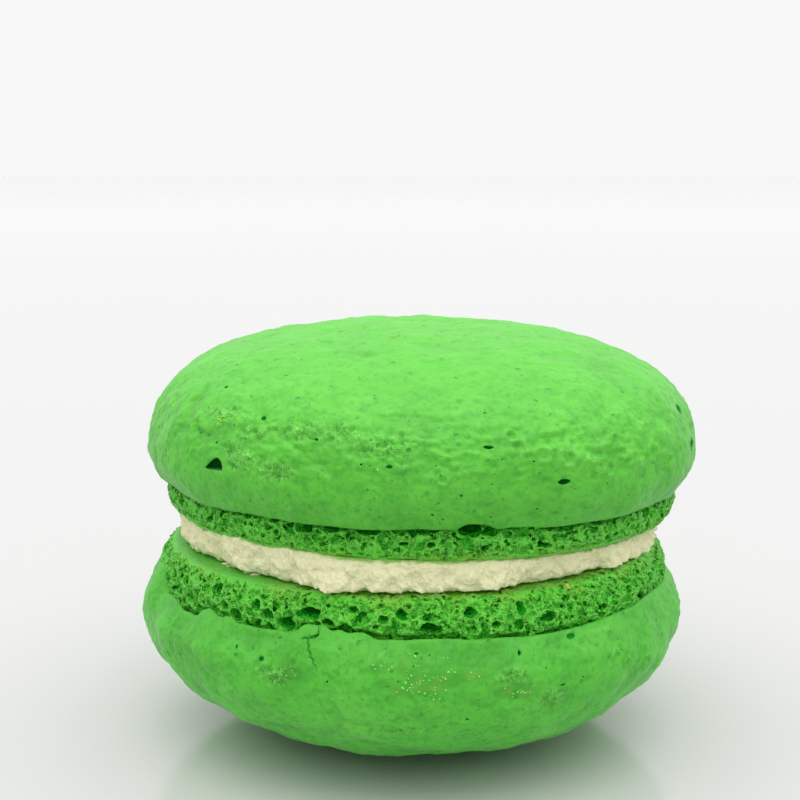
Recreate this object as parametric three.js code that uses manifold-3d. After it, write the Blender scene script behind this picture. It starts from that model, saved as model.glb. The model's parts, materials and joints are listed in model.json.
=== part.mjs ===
// A French macaron: two domed meringue shells, each with a crumbly foot, and a disc of buttercream.
//
// Millimetres, +Z up. The origin is the middle of the small flat spot that the lower shell rests on,
// and the front faces -Y. Both shells are built by one function, in a frame of their own: height 0 is
// the inner face against the buttercream, and height grows towards the crown of the dome, which
// points up on the upper shell and down on the lower one. Angles run anticlockwise seen from above,
// from +X on the right, so -90 degrees is the middle of the front.

import * as THREE from "three";
import { mergeVertices } from "three/addons/utils/BufferGeometryUtils.js";
import Module from "manifold-3d";

const wasm = await Module();
wasm.setup();

// ---------------------------------------------------------------- driving dimensions

const LOWER_SHELL = {
  name: "lower_shell",
  seed: 3,
  up: -1, // the dome points down
  axis: [0, 0], // where its axis stands, seen from above
  forwardLean: 0.55, // degrees that the front edge sinks
  rightLean: -0.15, // degrees that the right edge sinks
  radius: 22.25, // at the belly, the widest ring
  belly: 6.0, // height of the belly over the inner face
  crown: 16.6, // height of the dome's top over the inner face
  domePower: 2.02, // 2 gives an elliptical dome, and more gives a flatter top
  lipRadius: 21.1, // the crust's edge, where it stops over the foot
  lip: 3.05, // height of that edge
  lipSwing: 0.25, // how far the edge wanders up and down
  grooveRadius: 20.1, // the groove between foot and crust
  footRadius: 20.9,
  footTurn: 1.8, // height at which the foot has swelled to its full radius
  footCurve: 1.3, // 1 gives it a straight slope up to there, and 2 a round one
  faceRadius: 19.6, // the flat inner face
  cragDepth: 0.32, // relief of the foot
  pores: 24, // bubbles opened at random in the foot
  waves: [[2, 0.1, 40], [3, 0.12, 205], [5, 0.07, 80], [8, 0.06, 10], [13, 0.05, 130], [21, 0.04, 300]],
  // the widest bubbles of the foot: angle in degrees, height, width
  footHoles: [
    [-160, 2.4, 1.8], [-154, 1.6, 1.4], [-136, 1.4, 1.2], [-130.5, 2.3, 1.5], [-124, 1.6, 1.1],
    [-116, 2.3, 1.3], [-110, 1.9, 1.6], [-92, 1.5, 1.1], [-86, 2.2, 1.6], [-61.5, 2.0, 1.5], [-26, 1.8, 1.5],
  ],
  // bubbles of the crust: angle in degrees, height, width, how tall
  crustHoles: [[-120.2, 5.0, 0.8, 0.6], [-57.1, 3.6, 0.9, 0.5]],
};

const UPPER_SHELL = {
  name: "upper_shell",
  seed: 8,
  up: 1,
  axis: [0.6, 1.25],
  forwardLean: 0.1,
  rightLean: 0.65,
  radius: 22.7,
  belly: 5.4,
  crown: 15.1,
  domePower: 2.5,
  lipRadius: 21.6,
  lip: 2.7,
  lipSwing: 0.16,
  grooveRadius: 20.3,
  footRadius: 21.2,
  footTurn: 1.5,
  footCurve: 2,
  faceRadius: 19.8,
  cragDepth: 0.28,
  pores: 24,
  waves: [[2, 0.1, 110], [3, 0.1, 100], [5, 0.06, 250], [8, 0.06, 160], [13, 0.06, 40], [21, 0.04, 200]],
  footHoles: [[-79.5, 2.3, 2.1], [-135.7, 2.0, 0.9], [-120.4, 1.8, 0.9], [-65, 1.5, 1.2]],
  crustHoles: [[-133.2, 6.15, 2.0, 1.1], [-78, 8.8, 0.8, 0.5], [-63.7, 6.2, 1.1, 0.6], [-20.4, 9.4, 0.9, 0.8]],
};

const FILLING = {
  name: "filling",
  seed: 5,
  axis: [0.3, 0],
  space: 2.1, // between the two inner faces, at the middle
  radius: 19.6,
  bulge: 0.2, // the side stands out this much at half its height
  cragSize: 1.3, // width of the torn lumps of the side
  cragDepth: 0.25,
  gap: 0.2, // clearance to each inner face
};

const FLAT_SPOT = 6; // radius of the flat spot
const CRAG_SIZE = 1.5; // width of the foot's crumbs
const PORE_SIZE = [0.7, 1.2]; // widths of the random bubbles
const PORE_SPACING = 5; // degrees kept between a random bubble and a wide one
const LEAST_WALL = 0.3; // kept between a random bubble and the inner face
const LEAST_EDGE = 0.04; // shorter edges are closed up
const RING_POINTS = { foot: 144, dome: 72, crown: 36, tip: 18, filling: 96 };
const COLOURS = { crust: "#52b53c", buttercream: "#dcd6a6" };

// ---------------------------------------------------------------- small helpers

const radians = THREE.MathUtils.degToRad;
const mix = THREE.MathUtils.lerp;
const fraction = (x) => x - Math.floor(x);
const chance = (i, j, k) => fraction(Math.sin(i * 127.1 + j * 311.7 + k * 74.7) * 43758.5453);

// Smooth random relief from -1 to 1, with bumps about one unit wide.
function relief(x, y, z) {
  const [i, j, k] = [x, y, z].map(Math.floor);
  const [u, v, w] = [x - i, y - j, z - k].map((t) => t * t * (3 - 2 * t));
  const alongX = (dj, dk) => mix(chance(i, j + dj, k + dk), chance(i + 1, j + dj, k + dk), u);
  return 2 * mix(mix(alongX(0, 0), alongX(1, 0), v), mix(alongX(0, 1), alongX(1, 1), v), w) - 1;
}

// Relief of crumbs on a side: wide lumps, with smaller ones on them.
function crags(angle, radius, height, size, seed) {
  const [x, y, z] = [radius * Math.cos(angle), radius * Math.sin(angle), height].map((t) => t / size);
  return relief(x, y, z + seed) + 0.5 * relief(2 * x, 2 * y, 2 * z - seed);
}

// The swell of the crust's outline, round the macaron.
const outline = (waves, angle) =>
  waves.reduce((sum, [lobes, size, phase]) => sum + size * Math.cos(lobes * angle + radians(phase)), 0);

// A ring of points about the axis. Their radius and height are worked out at each angle.
function ring(count, radiusAndHeight) {
  return Array.from({ length: count }, (_, n) => {
    const angle = (2 * Math.PI * n) / count;
    const [radius, height] = radiusAndHeight(angle);
    return new THREE.Vector3(radius * Math.cos(angle), radius * Math.sin(angle), height);
  });
}

const pole = (height) => [new THREE.Vector3(0, 0, height)];

// Joins stacked rings into one closed surface that faces outwards. The rings go from a lower pole to
// an upper one, and neighbouring rings may hold different numbers of points.
function skin(rings) {
  const triangles = [];
  let start = 0;
  for (let row = 0; row + 1 < rings.length; row++) {
    const [lower, upper] = [rings[row].length, rings[row + 1].length];
    const next = start + lower;
    const lowerSteps = lower > 1 ? lower : 0;
    const upperSteps = upper > 1 ? upper : 0;
    let [i, j] = [0, 0];
    while (i < lowerSteps || j < upperSteps) {
      const a = start + (i % lower);
      const b = next + (j % upper);
      const stepUpper = j < upperSteps && (i === lowerSteps || (j + 0.5) / upper < (i + 0.5) / lower);
      if (stepUpper) triangles.push(b, a, next + (++j % upper));
      else triangles.push(b, a, start + (++i % lower));
    }
    start = next;
  }
  return new THREE.BufferGeometry().setFromPoints(rings.flat()).setIndex(triangles);
}

function toSolid(geometry) {
  const bare = geometry.clone();
  bare.deleteAttribute("normal");
  bare.deleteAttribute("uv");
  const merged = mergeVertices(bare);
  return new wasm.Manifold(
    new wasm.Mesh({
      numProp: 3,
      vertProperties: new Float32Array(merged.attributes.position.array),
      triVerts: new Uint32Array(merged.index.array),
    }),
  );
}

function toGeometry(solid) {
  const mesh = solid.getMesh();
  const geometry = new THREE.BufferGeometry();
  geometry.setAttribute("position", new THREE.BufferAttribute(mesh.vertProperties, 3));
  geometry.setIndex(new THREE.BufferAttribute(mesh.triVerts, 1));
  return closeShortEdges(geometry);
}

// Edges too short to matter are left where cuts meet. Their ends become one point.
function closeShortEdges(geometry) {
  const merged = mergeVertices(geometry, LEAST_EDGE);
  const corners = Array.from(merged.index.array);
  const kept = [];
  for (let n = 0; n < corners.length; n += 3) {
    const triangle = corners.slice(n, n + 3);
    if (new Set(triangle).size === 3) kept.push(...triangle);
  }
  return merged.setIndex(kept);
}

// A cut can free a loose crumb, so only the largest body is kept.
const largestBody = (solid) =>
  solid.decompose().reduce((best, body) => (body.volume() > best.volume() ? body : best));

// ---------------------------------------------------------------- form of a shell

// Radius of the smooth crust at a height from the lip to the crown.
function crustRadius(shell, height) {
  if (height < shell.belly) {
    const share = Math.max(0, height - shell.lip) / (shell.belly - shell.lip);
    return mix(shell.lipRadius, shell.radius, Math.sin((Math.PI / 2) * share));
  }
  const over = Math.min(1, (height - shell.belly) / (shell.crown - shell.belly));
  return shell.radius * (1 - over ** shell.domePower) ** (1 / shell.domePower);
}

// Height of the dome at a radius.
function domeHeight(shell, radius) {
  const share = (1 - (radius / shell.radius) ** shell.domePower) ** (1 / shell.domePower);
  return mix(shell.belly, shell.crown, share);
}

// Height of the crust's edge, which wanders as it goes round.
const lipHeight = (shell, angle) =>
  shell.lip + shell.lipSwing * relief(4 * Math.cos(angle), 4 * Math.sin(angle), shell.seed);

// The flat inner face, from its middle to its edge.
function faceRings(shell) {
  const { foot, dome, crown, tip } = RING_POINTS;
  const flat = (count, share) => ring(count, () => [share * shell.faceRadius, 0]);
  return [pole(0), flat(tip, 0.4), flat(crown, 0.7), flat(dome, 0.88), flat(foot, 1)];
}

// The foot: a band of crumbs that swells out of the face, up to the groove under the crust.
function footRings(shell) {
  return [0.08, 0.25, 0.42, 0.59, 0.75, 0.9].map((share) =>
    ring(RING_POINTS.foot, (angle) => {
      const height = share * lipHeight(shell, angle);
      const toTurn = Math.max(0, 1 - height / shell.footTurn);
      const swell = (1 - toTurn ** shell.footCurve) ** (1 / shell.footCurve);
      const radius = mix(shell.faceRadius, shell.footRadius, swell) + swell * outline(shell.waves, angle);
      const depth = shell.cragDepth * Math.min(1, 3 * share);
      return [radius + depth * crags(angle, radius, height, CRAG_SIZE, shell.seed), height];
    }),
  );
}

// The groove over the foot, and the crust's own edge.
function lipRings(shell) {
  const edge = (radius, rise) =>
    ring(RING_POINTS.foot, (angle) => [
      radius + outline(shell.waves, angle),
      lipHeight(shell, angle) + rise,
    ]);
  return [edge(shell.grooveRadius, 0.1), edge(shell.lipRadius - 0.15, -0.02)];
}

// The crust: from the lip over the belly to the crown, with faint dents on top.
function crustRings(shell) {
  const { dome, crown, tip } = RING_POINTS;
  const skirt = [0.2, 0.6].map((share) => [mix(shell.lip, shell.belly, share), dome]);
  const cap = [0, 11, 22, 33, 44, 55, 66, 76].map((turn) => {
    const share = Math.sin(radians(turn)) ** (2 / shell.domePower);
    return [mix(shell.belly, shell.crown, share), turn < 40 ? dome : turn < 70 ? crown : tip];
  });
  const rings = [...skirt, ...cap].map(([height, count]) =>
    ring(count, (angle) => {
      const radius = crustRadius(shell, height);
      const steep = radius / shell.radius;
      const [x, y] = [0.25 * radius * Math.cos(angle), 0.25 * radius * Math.sin(angle)];
      const dents = 0.15 * (1 - steep) * relief(x, y, shell.seed);
      return [radius + steep * outline(shell.waves, angle), height + dents];
    }),
  );
  return [...rings, pole(shell.crown)];
}

// ---------------------------------------------------------------- bubbles of a shell

// A squashed ball of few facets, which cuts one open bubble.
function bubble(shell, degrees, height, radius, width, tall) {
  const ball = new THREE.IcosahedronGeometry(0.5, 1);
  const angle = radians(degrees);
  ball.scale(width, width, tall);
  ball.rotateZ(angle);
  ball.translate(radius * Math.cos(angle), radius * Math.sin(angle), shell.up * height);
  return toSolid(ball);
}

const footBubble = (shell, [degrees, height, width]) =>
  bubble(shell, degrees, height, shell.footRadius - 0.1 * width, width, 0.8 * width);

const crustBubble = (shell, [degrees, height, width, tall]) =>
  bubble(shell, degrees, height, crustRadius(shell, height), width, tall);

// Small bubbles spread at random round the foot, clear of the wide ones.
function randomPores(shell) {
  const pores = Array.from({ length: shell.pores }, (_, n) => {
    const [turn, size, rise] = [1, 2, 3].map((k) => chance(n, k, shell.seed));
    const degrees = (360 * (n + 0.7 * turn)) / shell.pores - 180;
    const width = mix(...PORE_SIZE, size);
    return [degrees, mix(LEAST_WALL + width / 2, shell.lip - 0.1, rise), width];
  });
  return pores.filter(([degrees]) =>
    shell.footHoles.every(([wide]) => Math.abs(wide - degrees) > PORE_SPACING),
  );
}

function bubbles(shell) {
  return [
    ...[...shell.footHoles, ...randomPores(shell)].map((hole) => footBubble(shell, hole)),
    ...shell.crustHoles.map((hole) => crustBubble(shell, hole)),
  ];
}

// ---------------------------------------------------------------- places of the pieces

const lean = (shell) => new THREE.Euler(radians(shell.forwardLean), radians(shell.rightLean), 0);

// Which way is up in the frame of a leaning shell.
const upward = (shell) =>
  new THREE.Vector3(0, 0, 1).applyQuaternion(new THREE.Quaternion().setFromEuler(lean(shell)).invert());

// The middle of a shell's inner face.
const lowerLevel = domeHeight(LOWER_SHELL, FLAT_SPOT);
const faceMiddle = {
  [LOWER_SHELL.name]: new THREE.Vector3(...LOWER_SHELL.axis, lowerLevel),
  [UPPER_SHELL.name]: new THREE.Vector3(...UPPER_SHELL.axis, lowerLevel + FILLING.space),
};

// Height of a shell's leaning inner face over a point of the table.
function faceHeight(shell, x, y) {
  const middle = faceMiddle[shell.name];
  const normal = new THREE.Vector3(0, 0, 1).applyEuler(lean(shell));
  return middle.z - (normal.x * (x - middle.x) + normal.y * (y - middle.y)) / normal.z;
}

// ---------------------------------------------------------------- the pieces

function placedMesh(name, geometry, colour) {
  geometry.computeVertexNormals();
  const material = new THREE.MeshStandardMaterial({ color: colour, roughness: 0.75, metalness: 0 });
  const mesh = new THREE.Mesh(geometry, material);
  mesh.name = name;
  return mesh;
}

function shellMesh(shell) {
  const rings = [...faceRings(shell), ...footRings(shell), ...lipRings(shell), ...crustRings(shell)];
  rings.flat().forEach((point) => point.setZ(shell.up * point.z));
  const surface = skin(rings);
  if (shell.up < 0) surface.index.array.reverse();
  let solid = toSolid(surface).setTolerance(LEAST_EDGE);
  for (const hole of bubbles(shell)) solid = solid.subtract(hole);
  // what would sink into the table is cut off, which makes the flat spot
  const middle = faceMiddle[shell.name];
  solid = solid.trimByPlane(upward(shell).toArray(), -middle.z);
  const mesh = placedMesh(shell.name, toGeometry(largestBody(solid)), COLOURS.crust);
  mesh.position.copy(middle);
  mesh.rotation.copy(lean(shell));
  return mesh;
}

// The buttercream: a disc that fits between the two leaning faces, with a torn side.
function fillingMesh() {
  const [axisX, axisY] = FILLING.axis;
  const layer = (count, radius, share) => {
    const points = ring(count, (angle) => [radius(angle), 0]);
    for (const point of points) {
      const [x, y] = [point.x + axisX, point.y + axisY];
      const bottom = faceHeight(LOWER_SHELL, x, y) + FILLING.gap;
      const top = faceHeight(UPPER_SHELL, x, y) - FILLING.gap;
      point.set(x, y, mix(bottom, top, share));
    }
    return points;
  };
  const flat = (count, part, share) => layer(count, () => part * FILLING.radius, share);
  const side = [0, 0.2, 0.4, 0.6, 0.8, 1].map((share) =>
    layer(
      RING_POINTS.filling,
      (angle) => {
        const height = share * FILLING.space;
        const torn = crags(angle, FILLING.radius, height, FILLING.cragSize, FILLING.seed);
        return FILLING.radius + FILLING.bulge * Math.sin(Math.PI * share) + FILLING.cragDepth * torn;
      },
      share,
    ),
  );
  const { tip, crown } = RING_POINTS;
  const bottom = [flat(1, 0, 0), flat(tip, 0.5, 0), flat(crown, 0.85, 0)];
  const top = [flat(crown, 0.85, 1), flat(tip, 0.5, 1), flat(1, 0, 1)];
  return placedMesh(FILLING.name, skin([...bottom, ...side, ...top]), COLOURS.buttercream);
}

const macaron = new THREE.Group();
macaron.add(shellMesh(LOWER_SHELL), fillingMesh(), shellMesh(UPPER_SHELL));

export default macaron;
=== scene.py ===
"""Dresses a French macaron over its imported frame: crusts, feet, buttercream, crumbs and a plain stage.

A shell is shaped in millimetres in a frame of its own, as the solids are: height 0 is the inner face
against the buttercream, and height grows towards the crown of the dome. Angles run anticlockwise
seen from above, from +X on the right, so -90 degrees is the middle of the front. Each finished piece
is turned into place and into metres at the end, by place_shell.
"""

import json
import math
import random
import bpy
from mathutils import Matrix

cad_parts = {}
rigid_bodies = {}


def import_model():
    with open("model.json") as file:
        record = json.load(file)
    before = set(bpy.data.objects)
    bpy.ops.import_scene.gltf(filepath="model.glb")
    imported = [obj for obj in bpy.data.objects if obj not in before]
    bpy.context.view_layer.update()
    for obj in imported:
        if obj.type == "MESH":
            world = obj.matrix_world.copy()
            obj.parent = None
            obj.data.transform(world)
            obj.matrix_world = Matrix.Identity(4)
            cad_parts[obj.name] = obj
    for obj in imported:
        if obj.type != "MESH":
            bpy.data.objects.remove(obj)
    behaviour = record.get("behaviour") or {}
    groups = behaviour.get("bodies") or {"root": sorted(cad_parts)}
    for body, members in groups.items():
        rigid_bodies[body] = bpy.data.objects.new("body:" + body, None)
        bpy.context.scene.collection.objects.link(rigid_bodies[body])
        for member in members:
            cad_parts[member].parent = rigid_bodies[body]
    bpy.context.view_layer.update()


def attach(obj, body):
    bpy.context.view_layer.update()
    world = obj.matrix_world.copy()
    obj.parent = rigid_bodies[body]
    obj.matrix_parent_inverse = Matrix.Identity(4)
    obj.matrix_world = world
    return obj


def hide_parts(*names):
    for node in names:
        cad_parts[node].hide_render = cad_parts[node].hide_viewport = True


bl_info = {
    "name": "French macaron",
    "version": (1, 0, 0),
    "blender": (4, 5, 0),
    "location": "3D View > Sidebar > Macaron",
    "description": "Crusts, feet, buttercream and crumbs of a French macaron",
    "category": "Add Mesh",
}

import bmesh
import bpy
import numpy as np
from bpy.props import FloatProperty, FloatVectorProperty, IntProperty, PointerProperty
from mathutils import Matrix, Vector

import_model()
BODY = "root"
MM = 0.001

# ---------------------------------------------------------------- driving dimensions, in millimetres

LOWER = {
    "seed": 3,
    "up": -1,
    "axis": (0.0, 0.0),
    "lean": (0.55, -0.15),
    "radius": 22.25,
    "belly": 6.0,
    "crown": 16.6,
    "dome_power": 2.02,
    "lip_radius": 21.1,
    "lip": 3.05,
    "lip_swing": 0.25,
    "groove_radius": 20.1,
    "foot_radius": 20.9,
    "foot_turn": 1.8,
    "foot_curve": 1.3,
    "face_radius": 19.6,
    "waves": ((2, 0.1, 40), (3, 0.12, 205), (5, 0.07, 80), (8, 0.06, 10), (13, 0.05, 130), (21, 0.04, 300)),
    # where the crust's edge reaches over the foot or stops short of it: angle, half width in degrees, rise
    "lip_bumps": (
        (-181.5, 17, -2.45), (-158, 5, 0.4), (-146.5, 5.5, 0.85), (-137, 1.6, -0.3), (-131.5, 1.6, -0.2),
        (-110.3, 3.3, -0.7), (-106, 2.6, -0.25), (-102, 4, -0.45), (-96, 4, -0.2), (-86, 6, -0.25),
        (-30, 5, -0.1), (60, 5, -0.7), (118, 4, -0.5),
    ),
    # how deep the foot draws in under the edge, as a share: angle, share
    "grooved": (
        (-180, 0.0), (-161, 0.0), (-152, 0.25), (-146, 0.4), (-130, 0.55), (-116, 0.5), (-108, 0.8),
        (-75, 0.85), (-55, 0.6), (-44, 0.3), (-20, 0.2), (0, 0.3), (30, 0.6), (60, 0.9), (120, 0.8),
        (160, 0.3),
    ),
    # how crumbly the inner face is beside the buttercream: angle, share
    "crumbly": (
        (-180, 0.0), (-150, 0.1), (-125, 0.25), (-115, 0.7), (-105, 1.0), (-30, 1.0), (-15, 0.6), (0, 0.5),
        (60, 0.8), (120, 0.3),
    ),
    # how strong the ripples are: angle, share
    "rippled": ((-180, 1.0), (0, 1.0)),
    # where the edge is torn most: middle and half width in degrees
    "torn": (-140, 42),
    # the widest bubbles of the foot: angle, height, depth under the foot's side, width, how tall
    "caverns": (
        (-160.9, 2.7, 0.5, 1.9, 1.3), (-155.2, 1.8, 0.4, 1.4, 1.1), (-136.3, 1.25, 0.4, 1.25, 1.0),
        (-133.2, 2.1, 0.3, 0.95, 0.8), (-129.9, 2.65, 0.5, 1.35, 1.0), (-124.4, 1.55, 0.4, 0.95, 0.75),
        (-121.1, 2.0, 0.5, 1.15, 0.9), (-116.8, 2.55, 0.6, 1.5, 1.0), (-111.4, 1.6, 0.6, 2.1, 0.85),
        (-107.0, 2.0, 0.5, 1.2, 0.7), (-102.2, 1.0, 0.3, 0.8, 0.55), (-95.7, 1.4, 0.3, 0.8, 0.6),
        (-92.0, 1.2, 0.4, 0.95, 0.8), (-86.3, 2.1, 0.7, 1.7, 0.95), (-78.3, 1.1, 0.4, 0.9, 0.75),
        (-67.6, 1.2, 0.5, 0.75, 0.95), (-61.7, 1.95, 0.5, 1.5, 0.8), (-56.5, 1.0, 0.3, 0.8, 0.5),
        (-47.0, 2.2, 0.3, 1.1, 0.6), (-38.0, 1.7, 0.3, 0.9, 0.7), (-26.3, 1.8, 0.5, 1.5, 1.0),
        (-146.0, 2.5, 0.3, 1.0, 0.9), (-148.5, 1.5, 0.2, 0.8, 0.8),
    ),
    # open holes of the crust: angle, height, width, how tall, depth
    "holes": (
        (-120.2, 5.0, 0.5, 0.4, 0.3), (-57.1, 3.5, 0.7, 0.42, 0.4), (-69.4, 4.0, 0.25, 0.42, 0.4),
        (-122.5, 3.9, 0.22, 0.24, 0.3), (-106.0, 5.9, 0.16, 0.24, 0.3), (-127.0, 4.6, 0.2, 0.3, 0.25),
        (-100.4, 6.6, 0.3, 0.2, 0.3), (-64.5, 5.2, 0.2, 0.25, 0.3), (-60.5, 6.8, 0.5, 0.2, 0.3),
        (-51.0, 3.7, 0.14, 0.14, 0.3), (-86.5, 7.9, 0.22, 0.2, 0.25), (-79.6, 8.6, 0.3, 0.22, 0.25),
    ),
    # burst bubbles that left a ring: angle, height, width
    "rings": (
        (-47.5, 5.6, 0.9), (-44.0, 6.4, 0.8), (-113.5, 4.9, 0.7),
        (-62.0, 8.4, 0.8), (-37.0, 6.8, 0.7),
    ),
    # coarse patches of the crust: angle, height, half width, half height
    "patches": (
        (-118.0, 5.9, 2.2, 1.0), (-62.0, 7.6, 1.8, 0.8), (-91.0, 9.4, 1.3, 0.7),
        (-71.0, 5.6, 1.2, 0.8),
    ),
    # dents, wide and shallow: angle, height, half width, half height, depth
    "dents": ((-154.0, 3.4, 1.4, 0.9, 0.22), (-147.0, 4.6, 0.9, 1.6, 0.12), (-139.0, 4.2, 1.2, 1.4, 0.14)),
    "sugar": (
        (-86.0, 5.3, 3.6, 1.8), (-113.5, 5.6, 0.9, 0.6), (-96.0, 4.6, 1.0, 0.8),
        (-70.0, 6.6, 1.4, 0.6),
    ),
    # how far the crumb hangs over the inner face at its rim: angle, millimetres
    "hang": ((-180, 0.0), (0, 0.0)),
    "pinholes": 150,
}

UPPER = {
    "seed": 8,
    "up": 1,
    "axis": (0.6, 1.25),
    "lean": (0.1, 0.65),
    "radius": 22.7,
    "belly": 5.4,
    "crown": 15.1,
    "dome_power": 2.5,
    "lip_radius": 21.6,
    "lip": 2.7,
    "lip_swing": 0.16,
    "groove_radius": 20.3,
    "foot_radius": 21.2,
    "foot_turn": 1.5,
    "foot_curve": 2.0,
    "face_radius": 19.8,
    "waves": (
        (2, 0.1, 110), (3, 0.1, 100), (5, 0.06, 250), (8, 0.06, 160), (13, 0.06, 40), (21, 0.04, 200),
    ),
    "lip_bumps": ((-79.5, 3.2, 0.42), (-71, 3, 0.12), (-100, 6, -0.08), (75, 4, 0.3), (130, 5, -0.3)),
    "torn": (150, 30),
    "grooved": (
        (-180, 0.7), (-150, 0.6), (-135, 0.8), (-100, 1.0), (-60, 0.9), (-40, 0.5), (-10, 0.5), (40, 0.8),
        (120, 1.0),
    ),
    "crumbly": ((-180, 0.1), (-130, 0.1), (-60, 0.3), (-20, 0.2), (60, 0.5), (120, 0.2)),
    "rippled": (
        (-180, 0.4), (-150, 0.45), (-138, 0.85), (-125, 1.0), (-50, 1.0), (-32, 0.7), (-12, 0.4), (20, 0.5),
        (60, 1.0), (120, 0.9),
    ),
    "caverns": (
        (-79.8, 2.55, 0.7, 2.3, 0.95), (-76.5, 2.4, 0.5, 1.2, 0.6), (-135.7, 2.1, 0.4, 0.7, 0.5),
        (-120.1, 1.65, 0.4, 0.6, 0.45), (-120.6, 2.5, 0.4, 0.8, 0.5), (-77.4, 1.2, 0.3, 0.6, 0.4),
        (-65.1, 1.2, 0.4, 1.3, 0.4), (-47.0, 1.15, 0.3, 0.6, 0.4), (-100.5, 2.4, 0.5, 1.7, 0.6),
        (-93.5, 1.6, 0.3, 0.8, 0.4), (-88.0, 1.5, 0.3, 0.6, 0.5), (-108.0, 2.4, 0.4, 1.2, 0.5),
        (-60.0, 2.45, 0.4, 1.4, 0.5), (-52.0, 2.4, 0.4, 1.2, 0.5), (-128.0, 2.4, 0.3, 0.9, 0.4),
    ),
    "holes": (
        (-78.0, 8.8, 0.85, 0.28, 0.5), (-63.7, 6.2, 1.25, 0.5, 0.8), (-20.4, 9.4, 1.3, 0.9, 0.6),
        (-19.7, 6.65, 1.7, 1.3, 0.8), (-140.1, 11.5, 0.5, 0.3, 0.4), (-123.2, 10.0, 0.45, 0.35, 0.4),
        (-120.0, 12.8, 0.3, 0.2, 0.3), (-133.0, 7.86, 0.24, 0.24, 0.3), (-95.9, 7.46, 0.45, 0.24, 0.35),
        (-77.5, 10.9, 0.34, 0.16, 0.3), (-101.0, 7.5, 0.2, 0.2, 0.3), (-83.0, 5.5, 0.24, 0.2, 0.3),
        (-88.0, 4.0, 0.28, 0.16, 0.3), (-110.0, 9.0, 0.3, 0.2, 0.3), (-69.5, 7.7, 0.2, 0.16, 0.3),
    ),
    "rings": (
        (-72.1, 8.65, 1.15), (-67.7, 8.1, 1.1), (-63.0, 7.7, 1.2), (-53.4, 6.67, 1.1), (-40.7, 7.23, 1.2),
        (-73.1, 9.51, 0.9), (-50.0, 7.7, 0.9), (-58.2, 7.5, 0.8), (-86.3, 6.6, 0.8), (-35.0, 6.3, 0.9),
    ),
    "patches": (
        (-126.5, 7.1, 2.6, 1.3), (-118.2, 6.5, 2.2, 1.0), (-114.2, 9.4, 2.2, 0.9), (-133.6, 9.7, 2.6, 1.0),
        (-97.0, 8.8, 3.0, 0.9), (-124.0, 9.0, 2.6, 0.7), (-104.0, 9.6, 3.4, 0.9),
    ),
    "dents": (
        (-132.4, 14.4, 0.9, 0.5, 0.16), (-110.6, 14.1, 1.7, 0.7, 0.13), (-85.6, 10.45, 1.1, 0.4, 0.16),
        (-145.0, 9.6, 1.1, 2.6, 0.28), (-138.0, 8.2, 2.4, 0.5, 0.16), (-101.0, 8.3, 2.6, 0.5, 0.12),
        (-26.0, 8.2, 1.5, 1.1, 0.14), (-15.0, 7.6, 1.2, 0.7, 0.2), (-64.0, 9.0, 2.4, 0.5, 0.1),
    ),
    "sugar": ((-131.6, 9.0, 1.6, 0.5), (-97.0, 7.4, 0.5, 0.3), (70.0, 8.0, 1.5, 0.5)),
    "hang": (
        (-180, 0.0), (-50, 0.0), (-43, 0.34), (-38, 0.36), (-31, 0.16), (-20, 0.08), (-8, 0.0), (90, 0.1),
        (120, 0.0),
    ),
    "pinholes": 170,
}

# the half-moon hole of the upper crust: angle, height of its flat bottom, width, how tall, depth
HALF_MOON = (-132.7, 5.9, 1.9, 1.0, 2.0)
HALF_MOON_OUTLINE = (
    (0.95, 0.1), (1.02, 0.28), (0.99, 0.48), (0.9, 0.68), (0.73, 0.87), (0.5, 0.99), (0.28, 1.01),
    (0.04, 0.94), (-0.2, 0.8), (-0.44, 0.64), (-0.68, 0.45), (-0.9, 0.25), (-1.1, 0.08), (-0.9, 0.01),
    (-0.5, 0.0), (0.0, 0.03), (0.5, 0.06),
)

# the crack of the lower crust: runs of (angle, height), and how wide and deep it opens
CRACK_RUNS = (
    (
        (-109.3, 2.3), (-108.9, 2.6), (-108.95, 2.85), (-109.3, 3.0), (-109.7, 3.03), (-110.1, 3.15),
        (-110.7, 3.14), (-111.1, 3.24), (-111.7, 3.22), (-112.2, 3.35),
    ),
    (
        (-110.75, 3.28), (-110.9, 3.5), (-110.5, 3.68), (-110.55, 3.95), (-110.0, 4.15), (-109.9, 4.4),
        (-109.35, 4.5), (-109.2, 4.8), (-108.7, 4.92), (-108.45, 5.25),
    ),
)
CRACK_WIDTH = 0.2
CRACK_DEPTH = 0.6

FILLING = {
    "seed": 5,
    "axis": (0.3, 0.0),
    "space": 2.1,
    "radius": 19.6,
    "bulge": 0.2,
    # how far the lower edge swells over the shell or draws back from it: angle, millimetres
    "rim": (
        (-180, -0.2), (-167, -0.3), (-156, -0.4), (-150, -0.55), (-146, -0.9), (-142, -1.0), (-137, -0.6),
        (-132, -0.4), (-129, -0.7), (-117, -0.65), (-114.5, 0.1), (-111, 0.45), (-107.8, 0.95),
        (-105.5, 0.6), (-103.6, 0.3), (-101.5, -0.25), (-99.8, 0.0), (-95, 0.15), (-91, -0.3), (-87, 0.1),
        (-82, -0.3), (-73, 0.15), (-70, -0.4), (-66, -0.85), (-43.5, -0.8), (-42, -0.1), (-39, 0.1),
        (-33, -0.1), (-22, 0.2), (-12, 0.0), (20, -0.3), (60, 0.1), (95, -0.5), (130, 0.3), (160, -0.3),
    ),
    # how far the upper edge climbs over the crumb of the upper shell
    "climb": (
        (-180, 0.05), (-150, 0.1), (-140, 0.35), (-136, 0.6), (-132, 0.55), (-129, 0.3), (-124, 0.2),
        (-119, 0.5), (-114, 0.5), (-110, 0.3), (-105, 0.12), (-90, 0.15), (-60, 0.05), (-48, 0.0), (0, 0.0),
        (80, 0.2), (130, 0.1),
    ),
}
FLAT_SPOT = 6.0  # radius of the flat that the lower crown stands on
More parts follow.
